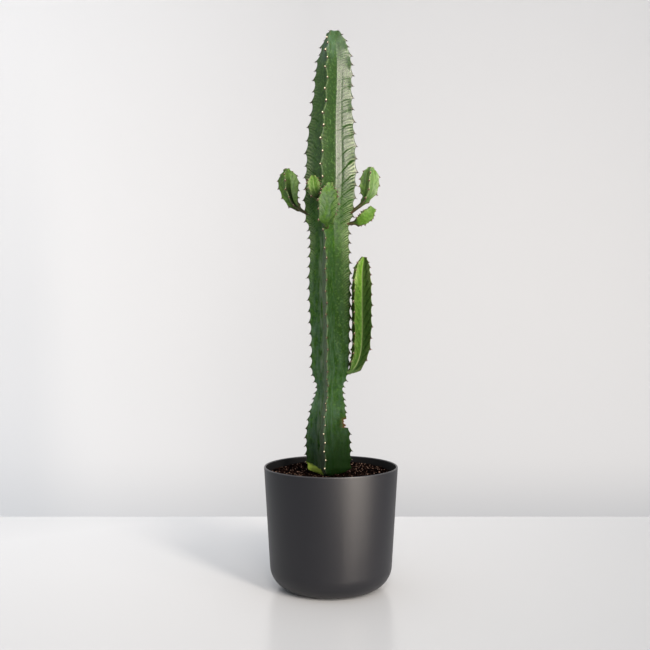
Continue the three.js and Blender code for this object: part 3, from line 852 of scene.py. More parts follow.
class EUPHORBIA_OT_pot(Operator):
    """Make the round satin pot, with its thin wall and rounded lip"""

    bl_idname = "euphorbia.pot"
    bl_label = "Pot"

    def execute(self, context):
        pot = context.scene.euphorbia_pot
        lip_radius = pot.wall / 2
        shoulder = pot.height - lip_radius
        outside = pot_line(pot, 0, shoulder)
        inside = pot_line(pot, pot.wall, shoulder)[::-1]
        middle = (outside[-1][0] + inside[0][0]) / 2
        half = (outside[-1][0] - inside[0][0]) / 2
        lip = [
            (middle + half * math.cos(a), shoulder + lip_radius * math.sin(a))
            for a in np.linspace(0, math.pi, LIP_STEPS + 2)[1:-1]
        ]
        piece = lathe("pot_shell", [*outside, *lip, *inside], POT_SIDES)
        # The inner face is duller, and painted near black as shade inside the pot; the lip is
        # smoother, and painted paler as a highlight along it.
        finishes = (
            ("satin polypropylene", pot.colour, pot.roughness, 0.5),
            ("polypropylene in painted shade", linear(0x0A0A0B), 0.6, 0.2),
            ("lip with painted highlight", linear(0x242428), 0.35, 0.7),
        )
        for finish in finishes:
            piece.data.materials.append(satin_polypropylene(*finish))
        for face in piece.data.polygons:
            inward = face.normal.xy.dot(face.center.xy.normalized()) < -0.5
            face.material_index = 2 if face.center.z > shoulder else int(inward)
        finish_piece(piece, "pot", "pot")
        return {"FINISHED"}


# ------------------------------------------------------------------ potting mix


def soil_tree():
    """Lumps the surface of the mix and strews crumbs and grit over it."""
    tree, given = new_tree(
        "potting mix",
        {
            "Lumps": "NodeSocketFloat",
            "Slope": "NodeSocketFloat",
            "Surface height": "NodeSocketFloat",
            "Crumb density": "NodeSocketFloat",
            "Grit density": "NodeSocketFloat",
            "Seed": "NodeSocketInt",
            "Peat": "NodeSocketMaterial",
            "Bark": "NodeSocketMaterial",
            "Grit": "NodeSocketMaterial",
        },
    )
    place = node(tree, "GeometryNodeInputPosition")
    split = node(tree, "ShaderNodeSeparateXYZ", {0: place})
    height = split.outputs["Z"]
    # Only the open surface moves, and the mix's sides and foot stay.
    surface = given.outputs["Surface height"]
    hidden = node(tree, MATH, {0: surface, 1: 4 * MM}, operation="SUBTRACT")
    open_from = node(tree, MATH, {0: surface, 1: 2 * MM}, operation="SUBTRACT")
    exposed = node(
        tree, "ShaderNodeMapRange", {"Value": height, "From Min": hidden, "From Max": open_from}
    )
    coarse = node(
        tree, "ShaderNodeTexNoise", {"Vector": place, "Scale": 1 / (9 * MM), "Detail": 5.0}
    )
    centred = node(tree, MATH, {0: coarse, 1: 0.5}, operation="SUBTRACT")
    rise = node(tree, MATH, {0: centred, 1: given.outputs["Lumps"]}, operation="MULTIPLY")
    doubled = node(tree, MATH, {0: rise, 1: 2.0}, operation="MULTIPLY")
    backward = node(
        tree,
        "ShaderNodeMapRange",
        {"Value": split.outputs["Y"], "From Min": 10 * MM, "From Max": 80 * MM},
    )
    banked = node(
        tree, MATH, {0: backward, 1: given.outputs["Slope"], 2: doubled}, operation="MULTIPLY_ADD"
    )
    shown = node(tree, MATH, {0: banked, 1: exposed}, operation="MULTIPLY")
    offset = node(tree, "ShaderNodeCombineXYZ", {"Z": shown})
    ground = node(
        tree,
        "GeometryNodeSetPosition",
        {"Geometry": given.outputs["Geometry"], "Offset": offset},
    )
    painted = node(
        tree, "GeometryNodeSetMaterial", {"Geometry": ground, "Material": given.outputs["Peat"]}
    )
    smooth = node(tree, "GeometryNodeSetShadeSmooth", {"Geometry": painted})
    normal = node(tree, "GeometryNodeInputNormal")
    facing = node(tree, "ShaderNodeSeparateXYZ", {0: normal}).outputs["Z"]
    upward = node(tree, MATH, {0: facing, 1: 0.5}, operation="GREATER_THAN")
    layers = [smooth]
    # What is strewn: its density and its material, the smallest and largest grain, and its number.
    strewn = (
        ("Crumb density", "Bark", 0.4 * MM, 1.7 * MM, 1),
        ("Grit density", "Grit", 0.25 * MM, 0.85 * MM, 2),
    )
    for density, kind, least, most, number in strewn:
        seed = node(tree, MATH, {0: given.outputs["Seed"], 1: float(number)}, operation="ADD")
        spots = node(
            tree,
            "GeometryNodeDistributePointsOnFaces",
            {"Mesh": ground, "Selection": upward, "Density": given.outputs[density], "Seed": seed},
        )
        grain = node(tree, "GeometryNodeMeshIcoSphere", {"Radius": 1.0, "Subdivisions": 1})
        tilt = node(
            tree,
            "FunctionNodeRandomValue",
            {"Min": (0.0,) * 3, "Max": (6.28,) * 3, "Seed": seed},
            data_type="FLOAT_VECTOR",
        )
        size = node(
            tree,
            "FunctionNodeRandomValue",
            {"Min": (least,) * 3, "Max": (most,) * 3, "Seed": seed},
            data_type="FLOAT_VECTOR",
        )
        grains = node(
            tree,
            "GeometryNodeInstanceOnPoints",
            {
                "Points": spots.outputs["Points"],
                "Instance": grain,
                "Rotation": node(tree, "FunctionNodeEulerToRotation", {"Euler": tilt}),
                "Scale": size,
            },
        )
        real = node(tree, "GeometryNodeRealizeInstances", {"Geometry": grains})
        layers.append(
            node(
                tree, "GeometryNodeSetMaterial", {"Geometry": real, "Material": given.outputs[kind]}
            )
        )
    joined = tree.nodes.new("GeometryNodeJoinGeometry")
    for layer in layers:
        tree.links.new(layer.outputs[0], joined.inputs[0])
    node(tree, "NodeGroupOutput", {"Geometry": joined})
    return tree


class EUPHORBIA_OT_soil(Operator):
    """Fill the pot with potting mix, and strew its crumbs and pale grit"""

    bl_idname = "euphorbia.soil"
    bl_label = "Potting mix"

    def execute(self, context):
        pot = context.scene.euphorbia_pot
        soil = context.scene.euphorbia_soil
        wall = pot_line(pot, pot.wall + SOIL_CLEARANCE, soil.level - soil.fall)
        radius = wall[-1][0]
        surface = [
            (radius * (1 - k / SOIL_RINGS), soil.level - soil.fall * (1 - k / SOIL_RINGS) ** 2)
            for k in range(1, SOIL_RINGS + 1)
        ]
        source = lathe("potting_mix_plain", [*wall, *surface], SOIL_SIDES)
        piece = grow(
            "potting_mix",
            source,
            soil_tree(),
            {
                "Lumps": soil.lumps,
                "Slope": soil.slope,
                "Surface height": soil.level,
                "Crumb density": soil.crumbs_per_square_metre,
                "Grit density": soil.grit_per_square_metre,
                "Seed": soil.seed,
                "Peat": damp_peat(soil),
                "Bark": mineral_crumb("composted bark", soil.bark, linear(0x0C0806), 0.9),
                "Grit": mineral_crumb("pumice grit", soil.grit, linear(0x33231A), 0.85),
            },
        )
        finish_piece(piece, "soil", "soil")
        return {"FINISHED"}


# ------------------------------------------------------------------ winged stems


def read(table, at):
    """A table's values at the stations `at`: a smooth curve, level beyond the table's ends."""
    stations, values = np.array(table, float).T
    at = np.asarray(at, float)
    if len(stations) == 1:
        return np.full(at.shape, values[0])
    spans = np.diff(stations)
    rises = np.diff(values)
    before, after = (rises / spans)[:-1], (rises / spans)[1:]
    same_way = before * after > 0
    slopes = np.zeros(len(values))
    slopes[1:-1][same_way] = (2 * before * after)[same_way] / (before + after)[same_way]
    i = np.clip(np.searchsorted(stations, at, side="right") - 1, 0, len(spans) - 1)
    step = np.clip((at - stations[i]) / spans[i], 0, 1)
    start, end, rise = slopes[i] * spans[i], slopes[i + 1] * spans[i], rises[i]
    bend = 3 * rise - 2 * start - end + step * (start + end - 2 * rise)
    return values[i] + step * (start + step * bend)


def smooth_path(corners, per_span=60):
    """Closely spaced points on a centripetal Catmull-Rom curve through the corners."""
    p = np.array(corners, float)
    p = np.vstack([2 * p[0] - p[1], p, 2 * p[-1] - p[-2]])
    gaps = np.sqrt(np.linalg.norm(np.diff(p, axis=0), axis=1))
    t = np.linspace(0, 1, per_span, endpoint=False)[:, None]
    path = []
    for i in range(1, len(p) - 2):
        before, here, after = gaps[i - 1 : i + 2]
        rise = p[i + 1] - p[i]
        come, go = p[i] - p[i - 1], p[i + 2] - p[i + 1]
        start = (come / before - (p[i + 1] - p[i - 1]) / (before + here) + rise / here) * here
        end = (rise / here - (p[i + 2] - p[i]) / (here + after) + go / after) * here
        bend = 3 * rise - 2 * start - end + t * (start + end - 2 * rise)
        path.append(p[i] + t * (start + t * bend))
    return np.vstack([*path, p[-2:-1]])


# Over this length before its end, a stem's teeth shrink to this share of their size.
TIP_LENGTH = 10
TIP_TOOTH = 0.7


class Stem:
    """A stem's centreline and teeth, worked out from its tables. Everything is in millimetres."""

    def __init__(self, plan):
        self.plan = plan = {**STEM_DEFAULTS, **plan}
        self.path = smooth_path(plan["line"])
        steps = np.linalg.norm(np.diff(self.path, axis=0), axis=1)
        self.along = plan["start"] + np.concatenate([[0], np.cumsum(steps)])
        self.end = self.along[-1]
        self.teeth = self.place_teeth()
        tangents = np.gradient(self.path, axis=0)
        self.tangents = tangents / np.linalg.norm(tangents, axis=1)[:, None]
        self.fronts = self.carry_front()

    def place_teeth(self):
        """Stations of the front wing's teeth, with one past the last."""
        teeth = [float(self.plan["first_tooth"])]
        while teeth[-1] < self.plan["last_tooth"]:
            teeth.append(teeth[-1] + float(read(self.plan["spacing"], teeth[-1])))
        return np.array(teeth)

    def carry_front(self):
        """The front direction, carried down from the tip without any twist of its own."""
        fronts = np.zeros_like(self.path)
        front = np.array([0.0, -1.0, 0.0])
        for i in range(len(self.path) - 1, -1, -1):
            front = front - self.tangents[i] * front.dot(self.tangents[i])
            front /= np.linalg.norm(front)
            fronts[i] = front
        return fronts

    def frames(self, stations):
        """Centres and unit vectors along the stem, to its front and to its side."""
        inside = np.clip(stations, self.along[0], self.end)

        def follow(values):
            return np.stack([np.interp(inside, self.along, column) for column in values.T], axis=1)

        tangents, fronts = follow(self.tangents), follow(self.fronts)
        centres = follow(self.path) + tangents * (stations - inside)[:, None]
        return centres, tangents, fronts, np.cross(tangents, fronts)

    def tooth_count(self, stations):
        """How many teeth of the front wing lie below each station, with its share of the next."""
        counts = np.interp(stations, self.teeth, np.arange(len(self.teeth)))
        first_pitch = self.teeth[1] - self.teeth[0]
        last_pitch = self.teeth[-1] - self.teeth[-2]
        counts += np.minimum(stations - self.teeth[0], 0) / first_pitch
        return counts + np.maximum(stations - self.teeth[-1], 0) / last_pitch

    def tooth_size(self, stations):
        """1 where the teeth are full grown, fading out below the first and at the tip."""
        # Full grown from half a tooth below the first, and gone a whole tooth below it.
        fading_in = np.clip((self.tooth_count(stations) + 1.0) / 0.5, 0, 1)
        return fading_in * np.interp(stations, [self.end - TIP_LENGTH, self.end], [1, TIP_TOOTH])


# The tip beyond a stem's last station: how high, and how wide, as shares of the last reach. The
# wings' ends stand up round the growing point, which lies in a small dip.
TIP_FORM = (
    (0, 1), (0.16, 0.96), (0.3, 0.88), (0.4, 0.76), (0.44, 0.62), (0.42, 0.48),
    (0.32, 0.34), (0.2, 0.2), (0.14, 0.05),
)


# The main stem's skin starts at this height, some 10 mm under the mix's surface.
FIRST_ROW = 140.0


def centreline(name, stem, row_spacing):
    """The stem's centreline as points that carry what its section needs to know at each."""
    plan = stem.plan
    # Only the main stem has a start: it begins under the mix, and it bears the scar.
    first = max(stem.along[0], FIRST_ROW if plan["start"] else 0.0)
    body = np.arange(first, stem.end, row_spacing / MM)
    end_rises, end_shares = np.array(TIP_FORM).T
    stations = np.concatenate([body, stem.end + end_rises * float(read(plan["reach"], stem.end))])
    closing = np.concatenate([np.ones(len(body)), end_shares])
    centres, tangents, fronts, _ = stem.frames(stations)
    reach = read(plan["reach"], stations) * closing
    grown = stem.tooth_size(stations) * closing
    in_scar = np.interp(stations, *zip(*SCAR)) if plan["start"] else np.zeros(len(stations))
    count = len(stations)
    return points_object(
        name,
        centres * MM,
        edges=[(i, i + 1) for i in range(count - 1)],
        centre=centres * MM,
        tangent=tangents,
        front=fronts,
        reach=reach * MM,
        core=reach * read(plan["core"], stations) * MM,
        turn=np.radians(read(plan["turn"], stations)),
        tooth=stem.tooth_count(stations),
        tooth_size=grown,
        scar=in_scar * MM,
        swing=read(plan["swing"], stations) * grown,
        **{label: read(plan[label], stations) * grown * MM for label in ("deep", "fine", "crease")},
        **{label: read(plan[label], stations) for label in SWEEP_TABLES + SKIN_TABLES},
    )


# What the sweep reads from a point of the centreline, and from a point of the section.
ROW_NUMBERS = SWEEP_TABLES + (
    "reach", "core", "turn", "tooth", "tooth_size", "swing", "scar", "deep", "fine", "crease",
)
SECTION_NUMBERS = (
    "wing", "side_sign", "wide_share", "cap", "tooth_offset", "wing_angle", "spread", "on_right",
    "fold_share", "crease_share", "bloom_share", "front_flank", "right_flank",
)

# Where the section's points stand on a flank, from the groove at 0 to the crest at 1.
FLANK_STEPS = (
    0, 0.09, 0.18, 0.26, 0.31, 0.35, 0.4, 0.48, 0.56, 0.64, 0.72, 0.8, 0.87, 0.93, 0.975, 1
)
# How wide a wing is there, as a share of its width at the groove.
FLANK_WIDTHS = [(0, 1), (0.18, 0.8), (0.35, 0.63), (0.56, 0.41), (0.72, 0.24), (0.87, 0.09), (1, 0)]
# Where the crest's round cap starts on a flank, and how large the section is drawn, before the
# sweep gives each point its place.
CAP_START = 0.93
SECTION_RADIUS = 25 * MM


def section_outline(wings_look):
    """The four-winged section as a ring of points that know their wing and their place on it."""
    shares, signs, wings = [], [], []
    for wing in range(len(TOOTH_OFFSETS)):
        for sign, steps in ((-1, FLANK_STEPS), (1, FLANK_STEPS[-2:0:-1])):
            for step in steps:
                shares.append(step)
                signs.append(sign if step < 1 else 0)
                wings.append(wing)
    wing = np.array(wings)
    share_out = np.array(shares)
    sign = np.array(signs)
    quarter = 2 * math.pi / len(TOOTH_OFFSETS)
    spread = sign * (1 - share_out) * quarter / 2
    angle = wing * quarter + spread
    cap = np.sqrt(np.clip(1 - ((share_out - CAP_START) / (1 - CAP_START)) ** 2, 0, 1))
    look = {label: np.array(values)[wing] for label, values in wings_look.items()}
    by_flank = {
        label: (look[label][:, 0] * (1 - sign) + look[label][:, 1] * (1 + sign)) / 2
        for label in ("weather", "polish")
    }
    ring = np.stack([np.cos(angle), np.sin(angle), np.zeros(len(angle))], axis=1)
    count = len(angle)
    return points_object(
        "section",
        SECTION_RADIUS * ring,
        edges=[(i, (i + 1) % count) for i in range(count)],
        wing=share_out,
        side_sign=sign,
        wide_share=read(FLANK_WIDTHS, share_out),
        cap=np.where(share_out < CAP_START, 1, cap),
        tooth_offset=np.array(TOOTH_OFFSETS)[wing],
        wing_angle=wing * quarter,
        spread=spread,
        on_right=wing == RIGHT_WING,
        fold_share=look["folds"],
        crease_share=np.array(WING_CREASES)[wing],
        bloom_share=look["blooms_and_sheen"],
        weathered=by_flank["weather"],
        polish=by_flank["polish"],
        front_flank=(wing == FRONT_WING) & (sign > 0),
        right_flank=(wing == RIGHT_WING) & (sign < 0),
        left_flank=(wing == LEFT_WING) & (sign > 0),
    )


# Powers and shares of the sweep. The first power draws a tooth out of the crest's hollow arcs, and
# the second keeps teeth, scar and swing to the outer part of a wing. A crest loses the pinch, as a
# share of its width, on each side of a tooth. A fold bows on its way in by a power, and wavers by a
# share of a tooth.
TOOTH_POWER = 2.2
CREST_POWER = 5.0
TOOTH_PINCH = 0.25
FOLD_BOW = 1.5
FOLD_WAVER = 0.8


def winged_tree():
    """Sweeps the section along a centreline, with toothed crests and folds across the flanks."""
    tree, given = new_tree(
        "winged stem",
        {
            "Section": "NodeSocketObject",
            "Tooth height": "NodeSocketFloat",
            "Hook": "NodeSocketFloat",
            "Crest width": "NodeSocketFloat",
            "Zigzag": "NodeSocketFloat",
            "Folds per tooth": "NodeSocketFloat",
            "Deep fold place": "NodeSocketFloat",
            "Deep fold width": "NodeSocketFloat",
            "Crease width": "NodeSocketFloat",
            "Skin": "NodeSocketMaterial",
        },
    )
    want = given.outputs
    section = node(tree, "GeometryNodeObjectInfo", {"Object": want["Section"]}).outputs["Geometry"]
    tube = node(
        tree,
        "GeometryNodeCurveToMesh",
        {
            "Curve": node(tree, "GeometryNodeMeshToCurve", {"Mesh": want["Geometry"]}),
            "Profile Curve": node(tree, "GeometryNodeMeshToCurve", {"Mesh": section}),
            "Fill Caps": True,
        },
    )
    has = {
        label: node(tree, ATTRIBUTE, {"Name": label}, data_type="FLOAT")
        for label in ROW_NUMBERS + SECTION_NUMBERS
    }
    way = {
        label: node(tree, ATTRIBUTE, {"Name": label}, data_type="FLOAT_VECTOR")
        for label in ("centre", "front", "tangent")
    }
    place = node(tree, "GeometryNodeInputPosition")
    noise = node(
        tree, "ShaderNodeTexNoise", {"Vector": place, "Scale": 1 / (22 * MM), "Detail": 2.0}
    )
    stray = node(tree, MATH, {0: noise, 1: 0.5}, operation="SUBTRACT")

    # Out along the wing, and across it.
    angle = node(tree, MATH, {0: has["turn"], 1: has["wing_angle"]}, operation="ADD")
    out = node(
        tree,
        "ShaderNodeVectorRotate",
        {"Vector": way["front"], "Axis": way["tangent"], "Angle": angle},
        rotation_type="AXIS_ANGLE",
    )
    across = node(tree, VECTOR_MATH, {0: way["tangent"], 1: out}, operation="CROSS_PRODUCT")

    # A tooth is a cusp between two hollow arcs of the crest: 1 at its point and 0 midway.
    phase = node(tree, MATH, {0: has["tooth"], 1: has["tooth_offset"]}, operation="SUBTRACT")
    part = node(tree, MATH, {0: phase}, operation="FRACT")
    centred = node(tree, MATH, {0: part, 1: 2.0, 2: -1.0}, operation="MULTIPLY_ADD")
    nearness = node(tree, MATH, {0: centred}, operation="ABSOLUTE")
    cusp = node(tree, MATH, {0: nearness, 1: TOOTH_POWER}, operation="POWER")
    tooth = node(tree, MATH, {0: cusp, 1: has["tooth_size"]}, operation="MULTIPLY")
    at_crest = node(tree, MATH, {0: has["wing"], 1: CREST_POWER}, operation="POWER")
    crest_tooth = node(tree, MATH, {0: tooth, 1: at_crest}, operation="MULTIPLY")
    rise = node(tree, MATH, {0: crest_tooth, 1: want["Tooth height"]}, operation="MULTIPLY")
    scar = node(tree, MATH, {0: has["scar"], 1: has["on_right"]}, operation="MULTIPLY")
    cut = node(tree, MATH, {0: scar, 1: at_crest}, operation="MULTIPLY")

    # Distances out and across, before the neck is rounded.
    groove = node(tree, MATH, {0: has["core"], 1: math.sqrt(0.5)}, operation="MULTIPLY")
    flank = node(
        tree,
        "ShaderNodeMix",
        {"Factor": has["wing"], "A": groove, "B": has["reach"]},
        data_type="FLOAT",
    )
    toothed = node(tree, MATH, {0: flank, 1: rise}, operation="ADD")
    far = node(tree, MATH, {0: toothed, 1: cut}, operation="SUBTRACT")
    pinch = node(tree, MATH, {0: crest_tooth, 1: -TOOTH_PINCH, 2: 0.5}, operation="MULTIPLY_ADD")
    half_crest = node(tree, MATH, {0: want["Crest width"], 1: pinch}, operation="MULTIPLY")
    cap = node(tree, MATH, {0: half_crest, 1: has["cap"]}, operation="MULTIPLY")
    wedge = node(tree, MATH, {0: groove, 1: half_crest}, operation="SUBTRACT")
    half_width = node(
        tree, MATH, {0: wedge, 1: has["wide_share"], 2: cap}, operation="MULTIPLY_ADD"
    )

    # How far in from the crest, with 1 at the crease. Folds fall as they run in.
    inward = node(tree, MATH, {0: 1.0, 1: has["wing"]}, operation="SUBTRACT")
    folded_part = node(tree, MATH, {0: 1.0, 1: has["fold_start"]}, operation="SUBTRACT")
    depth_in = node(tree, MATH, {0: inward, 1: folded_part}, operation="DIVIDE")
    bowed = node(tree, MATH, {0: depth_in, 1: FOLD_BOW}, operation="POWER")
    fallen = node(tree, MATH, {0: bowed, 1: has["fall"], 2: phase}, operation="MULTIPLY_ADD")
    wavering = node(tree, MATH, {0: stray, 1: FOLD_WAVER, 2: fallen}, operation="MULTIPLY_ADD")

    # The deep fold lies a little under each tooth.
    below = node(tree, MATH, {0: wavering, 1: want["Deep fold place"]}, operation="ADD")
    step = node(tree, MATH, {0: below}, operation="FRACT")
    off = node(tree, MATH, {0: step, 1: 0.5}, operation="SUBTRACT")
    off_share = node(tree, MATH, {0: off, 1: want["Deep fold width"]}, operation="DIVIDE")
    off_square = node(tree, MATH, {0: off_share, 1: 2.0}, operation="POWER")
    narrowing = node(tree, MATH, {0: off_square, 1: -1.0}, operation="MULTIPLY")
    valley = node(tree, MATH, {0: narrowing}, operation="EXPONENT")
    uneven = node(
        tree,
        "ShaderNodeMapRange",
        {"Value": noise, "From Min": 0.35, "From Max": 0.65, "To Min": 0.35},
    )
    deep = node(tree, MATH, {0: valley, 1: uneven}, operation="MULTIPLY")

    # The fine folds lie evenly between.
    fine_turn = node(tree, MATH, {0: wavering, 1: want["Folds per tooth"]}, operation="MULTIPLY")
    whole_wave = node(tree, MATH, {0: fine_turn, 1: 2 * math.pi}, operation="MULTIPLY")
    wave = node(tree, MATH, {0: whole_wave}, operation="COSINE")
    fine = node(tree, MATH, {0: wave, 1: 0.5, 2: 0.5}, operation="MULTIPLY_ADD")

    # Both fade out at the thin crest, and most of the way on the flank's smooth inner band.
    thinning = node(
        tree,
        "ShaderNodeMapRange",
        {"Value": has["wing"], "From Min": 0.86, "From Max": 0.99, "To Min": 1.0, "To Max": 0.12},
    )
    band = node(
        tree,
        "ShaderNodeMapRange",
        {"Value": depth_in, "From Min": 0.9, "From Max": 1.15, "To Min": 1.0, "To Max": 0.42},
        interpolation_type="SMOOTHSTEP",
    )
    groove_end = node(tree, "ShaderNodeMapRange", {"Value": has["wing"], "From Max": 0.12})
    on_band = node(tree, MATH, {0: band, 1: groove_end}, operation="MULTIPLY")
    shown = node(tree, MATH, {0: on_band, 1: thinning}, operation="MULTIPLY")
    deep_cut = node(tree, MATH, {0: deep, 1: has["deep"]}, operation="MULTIPLY")
    cuts = node(tree, MATH, {0: fine, 1: has["fine"], 2: deep_cut}, operation="MULTIPLY_ADD")
    shown_cuts = node(tree, MATH, {0: cuts, 1: shown}, operation="MULTIPLY")
    fold_cut = node(tree, MATH, {0: shown_cuts, 1: has["fold_share"]}, operation="MULTIPLY")

    # The crease runs along the stem where the folds end.
    from_crease = node(tree, MATH, {0: has["wing"], 1: has["fold_start"]}, operation="SUBTRACT")
    crease_place = node(tree, MATH, {0: from_crease, 1: want["Crease width"]}, operation="DIVIDE")
    crease_square = node(tree, MATH, {0: crease_place, 1: 2.0}, operation="POWER")
    crease_fall = node(tree, MATH, {0: crease_square, 1: -1.0}, operation="MULTIPLY")
    crease_form = node(tree, MATH, {0: crease_fall}, operation="EXPONENT")
    crease_depth = node(
        tree, MATH, {0: has["crease"], 1: has["crease_share"]}, operation="MULTIPLY"
    )
    crease_cut = node(tree, MATH, {0: crease_form, 1: crease_depth}, operation="MULTIPLY")
    cut_depth = node(tree, MATH, {0: fold_cut, 1: crease_cut}, operation="MAXIMUM")
    folded_width = node(tree, MATH, {0: half_width, 1: cut_depth}, operation="SUBTRACT")
    signed = node(tree, MATH, {0: folded_width, 1: has["side_sign"]}, operation="MULTIPLY")

    # The crest swings from side to side between the teeth.
    swing_turn = node(tree, MATH, {0: phase, 1: math.pi}, operation="MULTIPLY")
    swing = node(tree, MATH, {0: swing_turn}, operation="COSINE")
    swing_size = node(tree, MATH, {0: want["Zigzag"], 1: has["swing"]}, operation="MULTIPLY")
    swayed = node(tree, MATH, {0: swing, 1: swing_size}, operation="MULTIPLY")
    crest_sway = node(tree, MATH, {0: swayed, 1: at_crest}, operation="MULTIPLY")
    wide = node(tree, MATH, {0: signed, 1: crest_sway}, operation="SUBTRACT")

    # Rounded towards a neck.
    circle = []
    for plain, kind in ((far, "COSINE"), (wide, "SINE")):
        turned = node(tree, MATH, {0: has["spread"]}, operation=kind)
        around = node(tree, MATH, {0: turned, 1: has["core"]}, operation="MULTIPLY")
        circle.append(
            node(
                tree,
                "ShaderNodeMix",
                {"Factor": has["round"], "A": plain, "B": around},
                data_type="FLOAT",
            )
        )
    lean = node(tree, MATH, {0: crest_tooth, 1: want["Hook"]}, operation="MULTIPLY")
    down = node(tree, MATH, {0: lean, 1: -1.0}, operation="MULTIPLY")
    spot = way["centre"]
    for direction, distance in ((out, circle[0]), (across, circle[1]), (way["tangent"], down)):
        scaled = node(tree, VECTOR_MATH, {0: direction, "Scale": distance}, operation="SCALE")
        spot = node(tree, VECTOR_MATH, {0: spot, 1: scaled}, operation="ADD")
    shape = node(tree, "GeometryNodeSetPosition", {"Geometry": tube, "Position": spot})

    # What the skin's colours follow.
    # Painted shade: how deep the folds are cut, which darkens them and keeps wax out of them.
    furrow = node(
        tree, "ShaderNodeMapRange", {"Value": cut_depth, "From Min": 0.3 * MM, "From Max": 1.1 * MM}
    )
    # Painted sheen: the pale wax on the folds' ridges near a crest.
    ridge = node(tree, MATH, {0: 1.0, 1: fine}, operation="SUBTRACT")
    ridge_square = node(tree, MATH, {0: ridge, 1: 2.0}, operation="POWER")
    bloom_sheen_from = node(
        tree, "ShaderNodeMapRange", {"Value": has["wing"], "From Min": 0.45, "From Max": 0.85}
    )
    bloom_sheen_to = node(
        tree, "ShaderNodeMapRange", {"Value": has["wing"], "From Min": 1.0, "From Max": 0.93}
    )
    bloom = ridge_square
    for factor in (bloom_sheen_from, bloom_sheen_to, has["bloom"], has["bloom_share"], uneven):
        bloom = node(tree, MATH, {0: bloom, 1: factor}, operation="MULTIPLY")
    # Painted shade on the two flanks between the front wing and the right one.
    dark_front = node(
        tree, MATH, {0: has["dark_front"], 1: has["front_flank"]}, operation="MULTIPLY"
    )
    gloom = node(
        tree,
        MATH,
        {0: has["dark_right"], 1: has["right_flank"], 2: dark_front},
        operation="MULTIPLY_ADD",
    )
    # The scar is brown all through where it is cut 4 mm deep.
    wound = node(tree, MATH, {0: cut, 1: 1 / (4 * MM)}, operation="MULTIPLY")
    told = {
        "furrow": furrow,
        "tooth_near": nearness,
        "pale_fold": bloom,
        "gloom": gloom,
        "wound": wound,
    }
    for label, value in told.items():
        shape = node(
            tree,
            "GeometryNodeStoreNamedAttribute",
            {"Geometry": shape, "Name": label, "Value": value},
            data_type="FLOAT",
            domain="POINT",
        )
    smooth = node(tree, "GeometryNodeSetShadeSmooth", {"Geometry": shape})
    skin = node(tree, "GeometryNodeSetMaterial", {"Geometry": smooth, "Material": want["Skin"]})
    real = node(tree, "GeometryNodeRealizeInstances", {"Geometry": skin})
    node(tree, "NodeGroupOutput", {"Geometry": real})
    return tree


def make_skin(name, stem, settings, material, section, tree):
    """One stem's skin, swept by the tree."""
    return grow(
        name,
        centreline(name + "_line", stem, settings.row_spacing),
        tree,
        {
            "Section": section,
            "Tooth height": settings.tooth_height,
            "Hook": settings.hook,
            "Crest width": settings.crest_width,
            "Zigzag": settings.zigzag,
            "Folds per tooth": 4.0,
            "Deep fold place": 0.75,
            "Deep fold width": 0.1,
            "Crease width": 0.045,
            "Skin": material,
        },
    )


# ------------------------------------------------------------------ areoles and spines


# The young areole on each wing's end, round the growing point: how high above the last station and
# how far out it sits, as shares of the last reach, how far it looks up, and its leaf scar's size.
YOUNG_RISE = 0.46
YOUNG_REACH = 0.62
YOUNG_LIFT = 1.5
YOUNG_BEAD = 0.25
# Over this length before a stem's end its areoles look up, by up to the tip's lift. A tooth may
# lie this far past the end.
LIFT_LENGTH = 9
TIP_LIFT = 1.2
PAST_END = 0.4


def tooth_points(name, stem, settings):
    """A point on every tooth, with the directions out of it and along the crest."""
    plan = stem.plan
    pitches = np.diff(stem.teeth)
    places, outs, alongs, sizes, tones, beads = [], [], [], [], [], []
    end_reach = float(read(plan["reach"], stem.end))
    for wing, offset in enumerate(TOOTH_OFFSETS):
        stations = stem.teeth[:-1] + pitches * offset
        kept = stations < stem.end + PAST_END
        if plan["start"] and wing == RIGHT_WING:
            kept &= (stations < SCAR[0][0]) | (stations > SCAR[-1][0])
        stations = np.append(stations[kept], stem.end + YOUNG_RISE * end_reach)
        numbers = np.append(np.arange(len(pitches))[kept], 0)
        centres, tangents, fronts, sides = stem.frames(stations)
        angles = np.radians(read(plan["turn"], stations)) + wing * math.pi / 2
        out = fronts * np.cos(angles)[:, None] + sides * np.sin(angles)[:, None]
        across = np.cross(tangents, out)
        lift = np.interp(stations, [stem.end - LIFT_LENGTH, stem.end], [0, TIP_LIFT])
        grown = stem.tooth_size(stations)
        reach = read(plan["reach"], stations) + settings.tooth_height / MM * grown
        reach[-1] = YOUNG_REACH * end_reach
        lift[-1] = YOUNG_LIFT
        side = np.where(numbers % 2, 1, -1)
        swing = side * settings.zigzag / MM * grown * read(plan["swing"], stations)
        spot = centres + out * reach[:, None] + across * swing[:, None]
        spot -= tangents * (settings.hook / MM * grown)[:, None]
        places.append(spot * MM)
        outs.append(out + tangents * lift[:, None])
        alongs.append(tangents)
        # Where the teeth are small, the spines are too, but never by more than half.
        sizes.append((0.55 + 0.45 * grown) * read(plan["spike"], stations))
        tones.append(read(plan["pale"], stations))
        beads.append(SCAR_SIZES[wing] * read(plan["bead"], stations))
        beads[-1][-1] = YOUNG_BEAD
    return points_object(
        name,
        np.vstack(places),
        out=np.vstack(outs),
        along=np.vstack(alongs),
        size=np.concatenate(sizes),
        pale=np.concatenate(tones),
        bead=np.concatenate(beads),
    )


